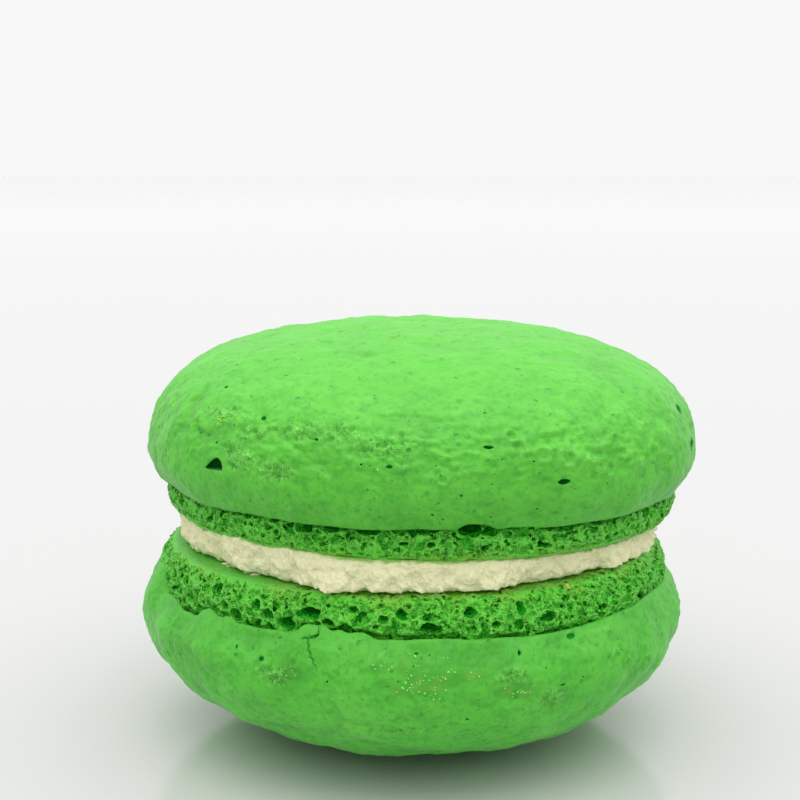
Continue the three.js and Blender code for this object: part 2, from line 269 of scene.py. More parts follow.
CRUST_STEP = 0.135  # spacing of the points of a crust
CRUST_TRIANGLES = 182000  # what a crust is thinned to before its holes are cut
FOOT_TRIANGLES = 196000  # what a foot is thinned to
CRUST_UNDERSIDE = 0.45  # how far over the lip the hidden underside of a crust lies
CORE_RADIUS = 17.9  # of the plain middle of a shell, which only touches buttercream
FOOT_INSIDE = 17.5  # the hidden inner side of a foot
FOOT_RISE = 0.9  # how far a foot reaches up into its crust
FOOT_VOXEL = 0.115  # grid of the volume that a foot is carved from
CAVERNS_ROUND = 46  # how many more wide bubbles are tried round a foot
CAVERNS_APART = 1.1  # a new one stays this times (0.5 + width) away from the middle of another
DEGREES = 57.3  # in a radian
CORE_LEVEL = 0.05  # how far the core of a crust stays off the inner face
INNER_RING = 9.0  # radius of a ring that keeps the triangles of a hidden disc short
FILLING_CORE = 17.0  # radius of the plain middle of the buttercream
# the rounded lip of a crust: how far inside its edge, and how far over it
LIP_PROFILE = ((0.5, 0.26), (0.24, 0.04), (0.07, -0.02))
PINHOLE_WIDTHS = (0.13, 0.34)  # the narrowest and the widest
PINHOLE_DEPTH = 0.28
FAR_SIDE_SPOTS = 9  # marks of each kind that the far side of a crust gets
FILLING_STEP = 0.12  # spacing of the points of the buttercream's side

# ---------------------------------------------------------------- small helpers


def linear(code):
    """An sRGB hex colour as linear RGB."""
    parts = [int(code[i : i + 2], 16) / 255 for i in (1, 3, 5)]
    return tuple(c / 12.92 if c <= 0.04045 else ((c + 0.055) / 1.055) ** 2.4 for c in parts)


def add(tree, kind, inputs=None, output=0, **settings):
    """Adds a node, sets it up, feeds its inputs with values or other outputs, and gives back an output.

    A kind without the word Node is a shader node's, such as Math for ShaderNodeMath.
    """
    node = tree.nodes.new(kind if "Node" in kind else "ShaderNode" + kind)
    count = len(tree.nodes)
    node.location = (220 * (count % 14), -260 * (count // 14))
    for name, value in settings.items():
        setattr(node, name, value)
    for socket, value in (inputs or {}).items():
        if isinstance(value, bpy.types.NodeSocket):
            tree.links.new(value, node.inputs[socket])
        else:
            node.inputs[socket].default_value = value
    return node.outputs[output] if len(node.outputs) else node


def chance(i, j, k):
    """A number from 0 to 1 that looks random, always the same for the same three numbers."""
    x = np.sin(i * 127.1 + j * 311.7 + k * 74.7) * 43758.5453
    return x - np.floor(x)


def relief(x, y, z):
    """Smooth random relief from -1 to 1, with bumps about one unit wide."""
    x, y, z = np.broadcast_arrays(np.asarray(x, float), np.asarray(y, float), np.asarray(z, float))
    i, j, k = np.floor(x), np.floor(y), np.floor(z)
    u, v, w = [t * t * (3 - 2 * t) for t in (x - i, y - j, z - k)]

    def along_x(dj, dk):
        start, end = chance(i, j + dj, k + dk), chance(i + 1, j + dj, k + dk)
        return start + (end - start) * u

    near = along_x(0, 0) + (along_x(1, 0) - along_x(0, 0)) * v
    far = along_x(0, 1) + (along_x(1, 1) - along_x(0, 1)) * v
    return 2 * (near + (far - near) * w) - 1


def mix(a, b, share):
    return a + (b - a) * share


def turn_between(start, end):
    """The shorter turn from one angle to another, in radians."""
    return np.angle(np.exp(1j * (end - start)))


def smooth(x, start, end):
    """Rises softly from 0 at start to 1 at end."""
    t = np.clip((x - start) / (end - start), 0, 1)
    return t * t * (3 - 2 * t)


def turn_angles(count):
    return 2 * np.pi * np.arange(count) / count


def ring(angles, radius, height):
    """Points round the axis."""
    radius = np.broadcast_to(radius, angles.shape)
    height = np.broadcast_to(height, angles.shape)
    return np.stack([radius * np.cos(angles), radius * np.sin(angles), height], 1)


def pole(height):
    return np.array([[0.0, 0.0, height]])


def skin(rings):
    """Triangles that join stacked rings into one surface. Neighbours may hold different numbers of points."""
    triangles = []
    start = 0
    for lower, upper in zip(rings, rings[1:]):
        n, m = len(lower), len(upper)
        lower_steps, upper_steps = (n if n > 1 else 0), (m if m > 1 else 0)
        keys = np.concatenate([(np.arange(lower_steps) + 0.5) / n, (np.arange(upper_steps) + 0.5) / m])
        on_upper = np.argsort(keys, kind="stable") >= lower_steps
        j = np.cumsum(on_upper) - on_upper
        i = np.cumsum(~on_upper) - ~on_upper
        following = np.where(on_upper, start + n + (j + 1) % m, start + (i + 1) % n)
        triangles.append(np.stack([start + n + j % m, start + i % n, following], 1))
        start += n
    return np.concatenate(triangles)


def new_mesh(name, points, faces):
    mesh = bpy.data.meshes.new(name)
    mesh.from_pydata(np.asarray(points).tolist(), [], np.asarray(faces).tolist())
    mesh.update()
    return mesh


def new_object(name, mesh):
    obj = bpy.data.objects.new(name, mesh)
    bpy.context.scene.collection.objects.link(obj)
    return obj


def discard(*objects):
    """Removes helpers that were only needed to shape a piece."""
    for obj in objects:
        data = obj.data
        bpy.data.objects.remove(obj)
        if isinstance(data, bpy.types.Mesh) and not data.users:
            bpy.data.meshes.remove(data)


def store(mesh, name, values):
    """Keeps one number for each point of a mesh."""
    layer = mesh.attributes.new(name, "FLOAT", "POINT")
    layer.data.foreach_set("value", np.asarray(values, np.float32))


def freeze(obj):
    """Turns what the modifiers show into the object's plain mesh."""
    bpy.context.view_layer.update()
    graph = bpy.context.evaluated_depsgraph_get()
    result = bpy.data.meshes.new_from_object(obj.evaluated_get(graph), depsgraph=graph)
    result.name = obj.name
    old = obj.data
    obj.modifiers.clear()
    obj.data = result
    bpy.data.meshes.remove(old)


def new_tree(name, inputs):
    """An empty Geometry Nodes tree with named inputs, each (kind of socket, default), and those inputs."""
    tree = bpy.data.node_groups.new(name, "GeometryNodeTree")
    tree.interface.new_socket("Geometry", in_out="INPUT", socket_type="NodeSocketGeometry")
    tree.interface.new_socket("Geometry", in_out="OUTPUT", socket_type="NodeSocketGeometry")
    for label, (kind, default) in inputs.items():
        socket = tree.interface.new_socket(label, in_out="INPUT", socket_type="NodeSocket" + kind)
        if default is not None:
            socket.default_value = default
    given = tree.nodes.new("NodeGroupInput").outputs
    return tree, given


def close_tree(tree, geometry, material):
    """Ends a tree with Realize Instances and Set Material."""
    real = add(tree, "GeometryNodeRealizeInstances", {"Geometry": geometry})
    dressed = add(tree, "GeometryNodeSetMaterial", {"Geometry": real, "Material": material})
    add(tree, "NodeGroupOutput", {0: dressed})


def places(tree, seed, stride):
    """Where a point lies, and where its patterns are read: elsewhere for each seed."""
    here = add(tree, "GeometryNodeInputPosition")
    shift = add(tree, "VectorMath", {0: seed, "Scale": stride}, operation="SCALE")
    return here, add(tree, "VectorMath", {0: here, 1: shift}, operation="ADD")


def lumps_of(tree, place, size, **shape):
    """Lumps as wide as size says, as a noise about nought."""
    scale = add(tree, "Math", {0: 1.0, 1: size}, operation="DIVIDE")
    noise = add(tree, "TexNoise", {"Vector": place, "Scale": scale, **shape})
    return add(tree, "Math", {0: noise, 1: 0.5}, operation="SUBTRACT")


def bowls_of(tree, place, scale, rare, wide, low, high, **settings):
    """Round bowls, one in each cell that is lucky by its colour. The luckier are the wider ones."""
    cells = add(tree, "TexVoronoi", {"Vector": place, "Scale": scale}).node.outputs
    luck = add(tree, "SeparateXYZ", {0: cells["Color"]}, output="X")
    reach = add(tree, "MapRange", {"Value": luck, "From Min": rare, "To Max": wide})
    inside = add(tree, "Math", {0: reach, 1: cells["Distance"]}, operation="SUBTRACT")
    return add(tree, "MapRange", {"Value": inside, "From Min": low, "From Max": high}, **settings)


def bend_pattern(tree, place, scale, detail, reach):
    """Bends a pattern out of true."""
    shift = add(tree, "TexNoise", {"Vector": place, "Scale": scale, "Detail": detail}, output="Color")
    shift = add(tree, "VectorMath", {0: shift, "Scale": reach}, operation="SCALE")
    return add(tree, "VectorMath", {0: place, 1: shift}, operation="ADD")


def run_tree(obj, tree, values):
    """Runs a tree on an object with values for its named inputs, and keeps the result as a plain mesh."""
    modifier = obj.modifiers.new(tree.name, "NODES")
    modifier.node_group = tree
    for item in tree.interface.items_tree:
        if item.item_type == "SOCKET" and item.in_out == "INPUT" and item.name in values:
            modifier[item.identifier] = values[item.name]
    freeze(obj)


def thin(obj, triangles):
    """Thins a mesh to about this many triangles. Flat places lose theirs first."""
    obj.data.calc_loop_triangles()
    count = len(obj.data.loop_triangles)
    if count > triangles:
        modifier = obj.modifiers.new("thin", "DECIMATE")
        modifier.ratio = triangles / count
        freeze(obj)


def finish_piece(obj, slot, *nodes):
    """Shades a piece softly, says what it rides on, and hides the solids that it stands for; the slot is not
    used.
    """
    obj.data.polygons.foreach_set("use_smooth", np.ones(len(obj.data.polygons), bool))
    obj.data.update()
    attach(obj, BODY)
    if nodes:
        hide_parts(*nodes)


# ---------------------------------------------------------------- settings


def length(label, text, millimetres):
    return FloatProperty(
        name=label, description=text, default=millimetres * MM, min=0, unit="LENGTH", precision=5,
    )


def colour(label, text, code):
    return FloatVectorProperty(
        name=label, description=text, default=linear(code), subtype="COLOR", min=0, max=1,
    )


SHELL_SIZES = {
    "radius": "Radius at the belly, the widest ring",
    "belly": "Height of the belly over the inner face",
    "crown": "Height of the dome's top over the inner face",
    "lip_radius": "Radius of the crust's edge over the foot",
    "lip": "Height of the crust's edge over the inner face",
    "foot_radius": "Radius of the foot where it is full",
    "face_radius": "Radius of the flat inner face",
}


def shell_settings(name, form):
    """The property group of one shell's sizes, with that shell's own defaults."""
    fields = {}
    for key, text in SHELL_SIZES.items():
        fields[key] = length(key.replace("_", " ").capitalize(), text, form[key])
    fields["dome_power"] = FloatProperty(
        name="Dome power", description="2 gives an elliptical dome, and more a flatter top",
        default=form["dome_power"], min=1.5, max=4,
    )
    fields["pinholes"] = IntProperty(
        name="Pinholes", description="Small open bubbles scattered over the crust",
        default=form["pinholes"], min=0,
    )
    return type(name, (bpy.types.PropertyGroup,), {"__annotations__": fields})


LowerShellSettings = shell_settings("LowerShellSettings", LOWER)
UpperShellSettings = shell_settings("UpperShellSettings", UPPER)


class MacaronSettings(bpy.types.PropertyGroup):
    """What a user would change about the macaron."""

    lower: PointerProperty(type=LowerShellSettings)
    upper: PointerProperty(type=UpperShellSettings)
    crumb_size: length("Crumb size", "Width of the lumps of a foot", 1.4)
    crumb_depth: length("Crumb depth", "Relief of the lumps of a foot", 0.27)
    bubble_size: length("Bubble size", "Spacing of the wide bubbles of a foot", 1.25)
    lump_size: length("Lump size", "Width of the soft lumps of a crust", 4.5)
    lump_depth: length("Lump depth", "Relief of the soft lumps of a crust", 0.2)
    ripple_size: length("Ripple size", "Width of the ripples of a crust", 2.6)
    ripple_depth: length("Ripple depth", "Relief of the ripples of a crust", 0.22)
    pit_spacing: length("Pit spacing", "Distance between the small dents of a crust", 1.15)
    pit_depth: length("Pit depth", "Depth of the small dents of a crust", 0.12)
    grain_size: length("Grain size", "Width of the grain in the coarse patches of a crust", 0.75)
    grain_depth: length("Grain depth", "Relief of the grain in the coarse patches", 0.19)
    tear_size: length("Tear size", "Width of the torn lumps of the buttercream", 1.2)
    tear_depth: length("Tear depth", "Relief of the torn side of the buttercream", 0.4)
    crust_colour: colour("Crust", "Colour of the baked crust", "#57c52a")
    foot_colour: colour("Foot", "Colour of the open crumb", "#66dc3a")
    cream_colour: colour("Buttercream", "Colour of the buttercream", "#f7f5c4")
    floor_colour: colour("Floor", "Colour of the floor", "#c9c8c8")


# ---------------------------------------------------------------- form of a shell


class Shell:
    """The form of one shell, with its sizes in millimetres."""

    def __init__(self, name):
        form = {"lower": LOWER, "upper": UPPER}[name]
        settings = getattr(bpy.context.scene.macaron, name)
        for key, value in form.items():
            setattr(self, key, value)
        for key in SHELL_SIZES:
            setattr(self, key, getattr(settings, key) / MM)
        self.dome_power = settings.dome_power
        self.pinholes = settings.pinholes
        self.name = name
        self.node = name + "_shell"
        self.fill_far_side()

    def fill_far_side(self):
        """Spreads rings, dents, coarse patches and holes over the far side too, by a seeded draw."""
        rng = random.Random(40 + self.seed)
        kinds = {"rings": [], "dents": [], "patches": [], "holes": []}
        for n in range(FAR_SIDE_SPOTS):
            degrees = 4 + 19 * (n + rng.random())
            low, high = self.lip + 1.5, self.crown - 3.5
            kinds["rings"].append((degrees, rng.uniform(low, high - 2), rng.uniform(0.8, 1.2)))
            for kind, onwards, ranges in (
                ("dents", 9, ((low, high), (0.9, 2.4), (0.4, 0.9), (0.1, 0.2))),
                ("patches", 5, ((low, high), (2, 3.5), (0.8, 1.5))),
            ):
                kinds[kind].append((degrees + onwards, *[rng.uniform(*limits) for limits in ranges]))
            width = rng.uniform(0.3, 0.9)
            height, tall = rng.uniform(low, high), width * rng.uniform(0.4, 0.9)
            kinds["holes"].append((degrees + 13, height, width, tall, 0.5))
        for kind, extra in kinds.items():
            setattr(self, kind, (*getattr(self, kind), *extra))

    def outline(self, angles):
        """The swell of the outline, round the macaron."""
        return sum(size * np.cos(lobes * angles + np.radians(phase)) for lobes, size, phase in self.waves)

    def lip_height(self, angles):
        """Height of the crust's edge, which wanders, is ragged, and has a few tongues and gaps."""
        height = self.lip + self.lip_swing * relief(4 * np.cos(angles), 4 * np.sin(angles), self.seed)
        for middle, half_width, rise in self.lip_bumps:
            apart = np.degrees(turn_between(np.radians(middle), angles))
            # a wide one has steep ends
            height = height + rise * np.exp(-((apart / half_width) ** (4 if half_width < 10 else 12)))
        middle, half_width = self.torn
        apart = np.degrees(turn_between(np.radians(middle), angles))
        torn = 0.4 + 0.9 * np.exp(-((apart / half_width) ** 4))
        for size, rise in ((1.9, 0.1), (0.8, 0.08), (0.35, 0.05)):
            x, y = [self.lip_radius / size * f(angles) for f in (np.cos, np.sin)]
            height = height + torn * rise * relief(x, y, self.seed + size)
        return height

    def by_angle(self, name, angles):
        """Reads one of the form's tables that go by the angle in degrees."""
        degrees, values = zip(*getattr(self, name))
        return np.interp(np.degrees(angles), degrees, values, period=360)

    def edge_radius(self, angles, lips):
        """Radius of the crust's edge, flush with the foot where it reaches far over or has no groove."""
        far = 0.42 * np.maximum(0, self.lip - 0.5 - lips)
        flush = 0.2 * (1 - self.by_angle("grooved", angles))
        return self.lip_radius - far - flush + self.outline(angles)

    def crust_radius(self, height, lips=None, edge=None):
        """Radius of the smooth crust at a height over the lip, with the edge as usual or as given."""
        height = np.asarray(height, float)
        lips = self.lip if lips is None else lips
        edge = self.lip_radius if edge is None else edge
        share = np.clip((height - lips) / (self.belly - lips), 0, 1)
        skirt = mix(edge, self.radius, np.sin(np.pi / 2 * share))
        over = np.clip((height - self.belly) / (self.crown - self.belly), 0, 1)
        dome = self.radius * (1 - over**self.dome_power) ** (1 / self.dome_power)
        return np.where(height < self.belly, skirt, dome)

    def crust_point(self, degrees, height):
        """A point of the smooth crust and the direction that it faces."""
        angle = math.radians(degrees)
        step = 0.02
        below, above = self.crust_radius([height - step, height + step])
        radius = float(self.crust_radius(height))
        wobble = radius / self.radius * float(self.outline(np.array(angle)))
        across = Vector((math.cos(angle), math.sin(angle), 0))
        facing = (across * 2 * step - Vector((0, 0, above - below))).normalized()
        return across * (radius + wobble) + Vector((0, 0, height)), facing

    def dome_height(self, radius):
        share = (1 - (radius / self.radius) ** self.dome_power) ** (1 / self.dome_power)
        return mix(self.belly, self.crown, share)


def face_level(shell):
    """Height over the floor of the middle of a shell's inner face."""
    low = Shell("lower").dome_height(FLAT_SPOT)
    return low if shell.up < 0 else low + FILLING["space"]


def shell_matrix(shell):
    """From a shell's own frame, where its dome points up, to its place in metres."""
    forward, right = [math.radians(angle) for angle in shell.lean]
    lean = Matrix.Rotation(forward, 4, "X") @ Matrix.Rotation(right, 4, "Y")
    move = Matrix.Translation(Vector((*shell.axis, face_level(shell))) * MM)
    return move @ Matrix.Scale(MM, 4) @ lean @ Matrix.Diagonal((1, 1, shell.up, 1))


def place_shell(obj, shell):
    """Puts a piece that was shaped in a shell's own frame in its place. The lower shell is turned over."""
    obj.data.transform(shell_matrix(shell))
    if shell.up < 0:
        obj.data.flip_normals()
    obj.data.update()


def stand_flat(obj):
    """Flattens what would reach through the floor."""
    points = np.empty(3 * len(obj.data.vertices), np.float32)
    obj.data.vertices.foreach_get("co", points)
    points[2::3] = np.maximum(points[2::3], 0)
    obj.data.vertices.foreach_set("co", points)
    obj.data.update()


def face_height(shell, x, y):
    """Height in millimetres of a shell's leaning inner face over a point of the floor."""
    matrix = shell_matrix(shell)
    middle = matrix @ Vector((0, 0, 0)) / MM
    normal = (matrix.to_3x3() @ Vector((0, 0, 1))).normalized()
    return middle.z - (normal.x * (x - middle.x) + normal.y * (y - middle.y)) / normal.z


# ---------------------------------------------------------------- crusts


def crust_rows(shell):
    """The outer rings of a crust, from its lip to its crown, evenly spaced along the profile."""
    fine = np.linspace(0, np.pi / 2, 4000)
    power = 2 / shell.dome_power
    radius = shell.radius * np.cos(fine) ** power
    height = mix(shell.belly, shell.crown, np.sin(fine) ** power)
    run = np.concatenate([[0], np.cumsum(np.hypot(np.diff(radius), np.diff(height)))])
    steps = np.arange(CRUST_STEP, run[-1] - CRUST_STEP / 2, CRUST_STEP)
    dome = list(zip(np.interp(steps, run, radius), np.interp(steps, run, height)))
    deep = shell.belly - shell.lip
    skirt = np.arange(0.5, round(deep / CRUST_STEP)) * CRUST_STEP / deep
    rows = []
    for share in skirt:
        angles = turn_angles(round(2 * np.pi * shell.radius / CRUST_STEP))
        lips, outline = shell.lip_height(angles), shell.outline(angles)
        heights = mix(lips, shell.belly, share)
        edge = shell.edge_radius(angles, lips) - outline
        rows.append(ring(angles, shell.crust_radius(heights, lips, edge) + outline, heights))
    for radius, height in dome:
        angles = turn_angles(max(8, round(2 * np.pi * radius / CRUST_STEP)))
        steep = radius / shell.radius
        x, y = 0.25 * radius * np.cos(angles), 0.25 * radius * np.sin(angles)
        dents = 0.15 * (1 - steep) * relief(x, y, shell.seed)
        rows.append(ring(angles, radius + steep * shell.outline(angles), height + dents))
    return rows


def crust_mesh(shell):
    """A closed crust: the plain core and underside, the thin rounded lip, and the outer surface."""
    lip_angles = turn_angles(round(2 * np.pi * shell.lip_radius / CRUST_STEP))
    lips = shell.lip_height(lip_angles)
    edge = shell.edge_radius(lip_angles, lips)
    under = shell.lip + CRUST_UNDERSIDE
    hidden = [
        pole(CORE_LEVEL),
        ring(turn_angles(24), INNER_RING, CORE_LEVEL),
        ring(turn_angles(96), CORE_RADIUS, CORE_LEVEL),
        ring(turn_angles(96), CORE_RADIUS + 0.1, under),
        ring(turn_angles(360), shell.groove_radius - 0.4, under),
        *[ring(lip_angles, edge - inside, lips + over) for inside, over in LIP_PROFILE],
    ]
    rows = hidden + crust_rows(shell) + [pole(shell.crown)]
    points = np.concatenate(rows)
    mesh = new_mesh(shell.name + "_crust", points, skin(rows))
    cover = np.ones(len(points))
    buried = sum(len(row) for row in hidden)
    cover[:buried] = 0
    reach = points[:, 2] - shell.lip_height(np.arctan2(points[:, 1], points[:, 0]))
    cover[buried:] = smooth(reach[buried:], 0.0, 0.6)
    if shell.up > 0:
        # the crust is even round the half-moon hole
        cover *= smooth(np.hypot(*apart(shell, points, *HALF_MOON[:2])), 1.0, 1.9)
    store(mesh, "hole", np.zeros(len(points)))
    store(mesh, "cover", cover)
    store(mesh, "sugar", crust_patches(shell, shell.sugar, points))
    store(mesh, "marks", crust_marks(shell, points) * cover)
    store(mesh, "coarse", crust_patches(shell, shell.patches, points) * cover)
    store(mesh, "rippled", shell.by_angle("rippled", np.arctan2(points[:, 1], points[:, 0])))
    return mesh


def apart(shell, points, degrees, height):
    """How far points lie along and up the crust from one place on it."""
    angle = turn_between(math.radians(degrees), np.arctan2(points[:, 1], points[:, 0]))
    radius = float(shell.crust_radius(height))
    sideways = radius * angle
    # up the slope of the dome, which counts both the rise and the way inwards
    rise = points[:, 2] - height
    inwards = radius - np.hypot(points[:, 0], points[:, 1])
    climb = np.where(height > shell.belly, np.sign(rise + inwards) * np.hypot(rise, inwards), rise)
    return sideways, climb


def crust_marks(shell, points):
    """Relief in millimetres of the rings of burst bubbles and of the dents."""
    marks = np.zeros(len(points))
    for degrees, height, width in shell.rings:
        sideways, climb = apart(shell, points, degrees, height)
        wobble = 1 + 0.2 * relief(2.1 * sideways, 2.1 * climb, height)
        distance = np.hypot(sideways, climb) * wobble / (width / 2)
        marks += 0.15 * np.exp(-(((distance - 1) / 0.24) ** 2)) - 0.09 * np.exp(-((distance / 0.6) ** 4))
    for degrees, height, half_width, half_height, depth in shell.dents:
        sideways, climb = apart(shell, points, degrees, height)
        wobble = 0.35 * relief(1.3 * sideways, 1.3 * climb, degrees)
        distance = np.hypot(sideways / half_width, climb / half_height) + wobble
        marks -= depth * (1 - smooth(distance, 0.3, 1.1))
    return marks


def crust_patches(shell, patches, points):
    """How far points lie inside patches of the crust, from 0 to 1."""
    coarse = np.zeros(len(points))
    for degrees, height, half_width, half_height in patches:
        sideways, climb = apart(shell, points, degrees, height)
        ragged = 0.4 * relief(0.9 * sideways, 1.4 * climb, degrees)
        distance = np.hypot(sideways / half_width, climb / half_height) + ragged
        coarse = np.maximum(coarse, 1 - smooth(distance, 0.4, 1.1))
    return coarse


def crust_tree():
    """Geometry Nodes that raise the relief of a baked crust: lumps, ripples, dents and coarse grain."""
    tree, given = new_tree("Crust relief", {
        "Lump size": ("Float", 7.0),
        "Lump depth": ("Float", 0.1),
        "Ripple size": ("Float", 2.0),
        "Ripple depth": ("Float", 0.05),
        "Ripple band": ("Float", 7.0),
        "Pit spacing": ("Float", 1.2),
        "Pit depth": ("Float", 0.06),
        "Grain size": ("Float", 0.4),
        "Grain depth": ("Float", 0.08),
        "Seed": ("Float", 1.0),
        "Material": ("Material", None),
    })
    here, place = places(tree, given["Seed"], 17.3)
    height = add(tree, "SeparateXYZ", {0: here}, output="Z")

    lumps = lumps_of(tree, place, given["Lump size"], Detail=1.5)
    # the noise seldom leaves the middle half of its range, so a depth counts about threefold
    lump_depth = add(tree, "Math", {0: given["Lump depth"], 1: 3.0}, operation="MULTIPLY")
    lumps = add(tree, "Math", {0: lumps, 1: lump_depth}, operation="MULTIPLY")

    # ripples lie flat, so the pattern is squeezed in height
    squeezed = add(tree, "VectorMath", {0: place, 1: (1.0, 1.0, 2.4)}, operation="MULTIPLY")
    ripples = lumps_of(tree, squeezed, given["Ripple size"], Detail=3.0, Roughness=0.5, Distortion=0.3)
    # folded about its middle, the noise gives round lumps with creases between them
    ripples = add(tree, "Math", {0: ripples}, operation="ABSOLUTE")
    ripples = add(tree, "Math", {0: ripples, 1: 0.08}, operation="SUBTRACT")
    off_band = add(tree, "Math", {0: height, 1: given["Ripple band"]}, operation="SUBTRACT")
    off_band = add(tree, "Math", {0: off_band}, operation="ABSOLUTE")
    band = add(tree, "MapRange", {
        "Value": off_band, "From Min": 0.8, "From Max": 3.6, "To Min": 1.0, "To Max": 0.3,
    }, interpolation_type="SMOOTHSTEP")
    ripples = add(tree, "Math", {0: ripples, 1: band}, operation="MULTIPLY")
    rippled = add(tree, "GeometryNodeInputNamedAttribute", {"Name": "rippled"})
    ripples = add(tree, "Math", {0: ripples, 1: rippled}, operation="MULTIPLY")
    ripple_depth = add(tree, "Math", {0: given["Ripple depth"], 1: 5.0}, operation="MULTIPLY")
    ripples = add(tree, "Math", {0: ripples, 1: ripple_depth}, operation="MULTIPLY")

    # small dents
    pit_scale = add(tree, "Math", {0: 1.0, 1: given["Pit spacing"]}, operation="DIVIDE")
    bent = bend_pattern(tree, place, 1.7, 2.0, 0.9)
    pits = bowls_of(tree, bent, pit_scale, 0.5, 0.26, 0.0, 0.14, interpolation_type="SMOOTHSTEP")
    pit_relief = add(tree, "Math", {0: pits, 1: given["Pit depth"]}, operation="MULTIPLY")

    # coarse patches: short wiggly crests packed close
    coarse = add(tree, "GeometryNodeInputNamedAttribute", {"Name": "coarse"})
    beads = lumps_of(tree, place, given["Grain size"], Detail=1.0, Roughness=0.6, Distortion=0.5)
    beads = add(tree, "Math", {0: beads}, operation="ABSOLUTE")
    beads = add(tree, "Math", {0: 0.08, 1: beads}, operation="SUBTRACT")
    beads = add(tree, "Math", {0: beads, 1: 8.0}, operation="MULTIPLY")
    even = add(tree, "Math", {0: coarse, 1: 0.1}, operation="MAXIMUM")
    beads = add(tree, "Math", {0: beads, 1: even}, operation="MULTIPLY")
    beads = add(tree, "Math", {0: beads, 1: given["Grain depth"]}, operation="MULTIPLY")
    fine = add(tree, "TexNoise", {"Vector": place, "Scale": 0.9, "Detail": 4.0, "Roughness": 0.6})
    fine = add(tree, "Math", {0: fine, 1: 0.5}, operation="SUBTRACT")
    fine = add(tree, "Math", {0: fine, 1: 0.34}, operation="MULTIPLY")

    total = lumps
    for part in (ripples, beads, fine):
        total = add(tree, "Math", {0: total, 1: part}, operation="ADD")
    total = add(tree, "Math", {0: total, 1: pit_relief}, operation="SUBTRACT")
    cover = add(tree, "GeometryNodeInputNamedAttribute", {"Name": "cover"})
    total = add(tree, "Math", {0: total, 1: cover}, operation="MULTIPLY")
    marks = add(tree, "GeometryNodeInputNamedAttribute", {"Name": "marks"})
    total = add(tree, "Math", {0: total, 1: marks}, operation="ADD")
    normal = add(tree, "GeometryNodeInputNormal")
    offset = add(tree, "VectorMath", {0: normal, "Scale": total}, operation="SCALE")
    kept = given["Geometry"]
    for name, value in (("pits", pits), ("raised", total)):
        kept = add(tree, "GeometryNodeStoreNamedAttribute", {
            "Geometry": kept, "Name": name, "Value": value,
        })
    raised = add(tree, "GeometryNodeSetPosition", {"Geometry": kept, "Offset": offset})
    close_tree(tree, raised, given["Material"])
    return tree


def blob(bm, centre, facing, width, tall, depth, rng, detail=2):
    """Adds an uneven squashed ball: width along the surface, tall up it, and depth into it."""
    side = Vector((0, 0, 1)).cross(facing)
    side = side.normalized() if side.length > 1e-3 else Vector((1, 0, 0))
    rise = facing.cross(side)
    # the ball is widest under the surface, so that the hole is wider inside than its mouth
    centre = centre - facing * 0.55 * depth
    turn = Matrix((side * width / 1.7, rise * tall / 1.7, facing * depth)).transposed()
    ball = bmesh.ops.create_icosphere(bm, subdivisions=detail, radius=1)["verts"]
    swell = [Vector([rng.uniform(-1, 1) for _ in range(3)]).normalized() for _ in range(3)]
    for vert in ball:
        lean = sum(max(0.0, vert.co.dot(s)) ** 2 for s in swell)
        vert.co = turn @ (vert.co * (0.86 + 0.16 * lean)) + centre


def join_loops(bm, loops):
    """Faces between neighbouring loops of corners."""
    for first, second in zip(loops, loops[1:]):
        for k in range(len(first)):
            after = (k + 1) % len(first)
            bm.faces.new((first[k], first[after], second[after], second[k]))


def wedge(bm, shell, run):
    """Adds a thin V-shaped cutter along a crack. It tapers to both ends."""
    loops = []
    for n, (degrees, height) in enumerate(run):
        point, facing = shell.crust_point(degrees, height)
        ahead = shell.crust_point(*run[min(n + 1, len(run) - 1)])[0]
        behind = shell.crust_point(*run[max(n - 1, 0)])[0]
        across = facing.cross(ahead - behind).normalized()
        open_share = math.sin(math.pi * (n + 0.7) / (len(run) + 0.4)) ** 0.5
        half = CRACK_WIDTH / 2 * open_share
        out = facing * 0.35
        corners = (point + out + across * half * 1.6, point + out - across * half * 1.6,
                   point - facing * CRACK_DEPTH * open_share)
        loops.append([bm.verts.new(corner) for corner in corners])
    join_loops(bm, loops)
    bm.faces.new(reversed(loops[0]))
    bm.faces.new(loops[-1])


def cut(obj, name, fill):
    """Cuts closed cutters, which fill adds to a mesh, out of an object."""
    bm = bmesh.new()
    fill(bm)
    bmesh.ops.recalc_face_normals(bm, faces=bm.faces)
    mesh = bpy.data.meshes.new(name)
    bm.to_mesh(mesh)
    bm.free()
    store(mesh, "hole", np.ones(len(mesh.vertices)))
    cutters = new_object(name, mesh)
    modifier = obj.modifiers.new(name, "BOOLEAN")
    modifier.operation = "DIFFERENCE"
    modifier.solver = "MANIFOLD"
    modifier.object = cutters
    freeze(obj)
    discard(cutters)


def crust_holes(bm, shell):
    """Cutters of a crust's open bubbles: the named ones, and pinholes scattered where no other is near."""
    rng = random.Random(shell.seed)
    taken = []
    for degrees, height, width, tall, depth in shell.holes:
        point, facing = shell.crust_point(degrees, height)
        blob(bm, point, facing, width, tall, depth, rng)
        taken.append((point, width))
    if shell.up > 0:
        degrees, height, width, tall, depth = HALF_MOON
        point, facing = shell.crust_point(degrees, height + 0.35 * tall)
        half_moon(bm, point, facing, width, tall, depth)
        taken.append((point, width))
    left = shell.pinholes
    while left:
        # most lie on the side of the dome
        height = mix(shell.lip + 0.5, shell.crown - 1.2, rng.random() ** 1.5)
        point, facing = shell.crust_point(rng.uniform(-180, 180), height)
        width = mix(*PINHOLE_WIDTHS, rng.random() ** 3)
        if all((point - other).length > 0.5 * (width + wide) + 0.3 for other, wide in taken):
            tall = width * rng.uniform(0.55, 1.0)
            blob(bm, point, facing, width, tall, PINHOLE_DEPTH, rng, detail=1)
            taken.append((point, width))
            left -= 1


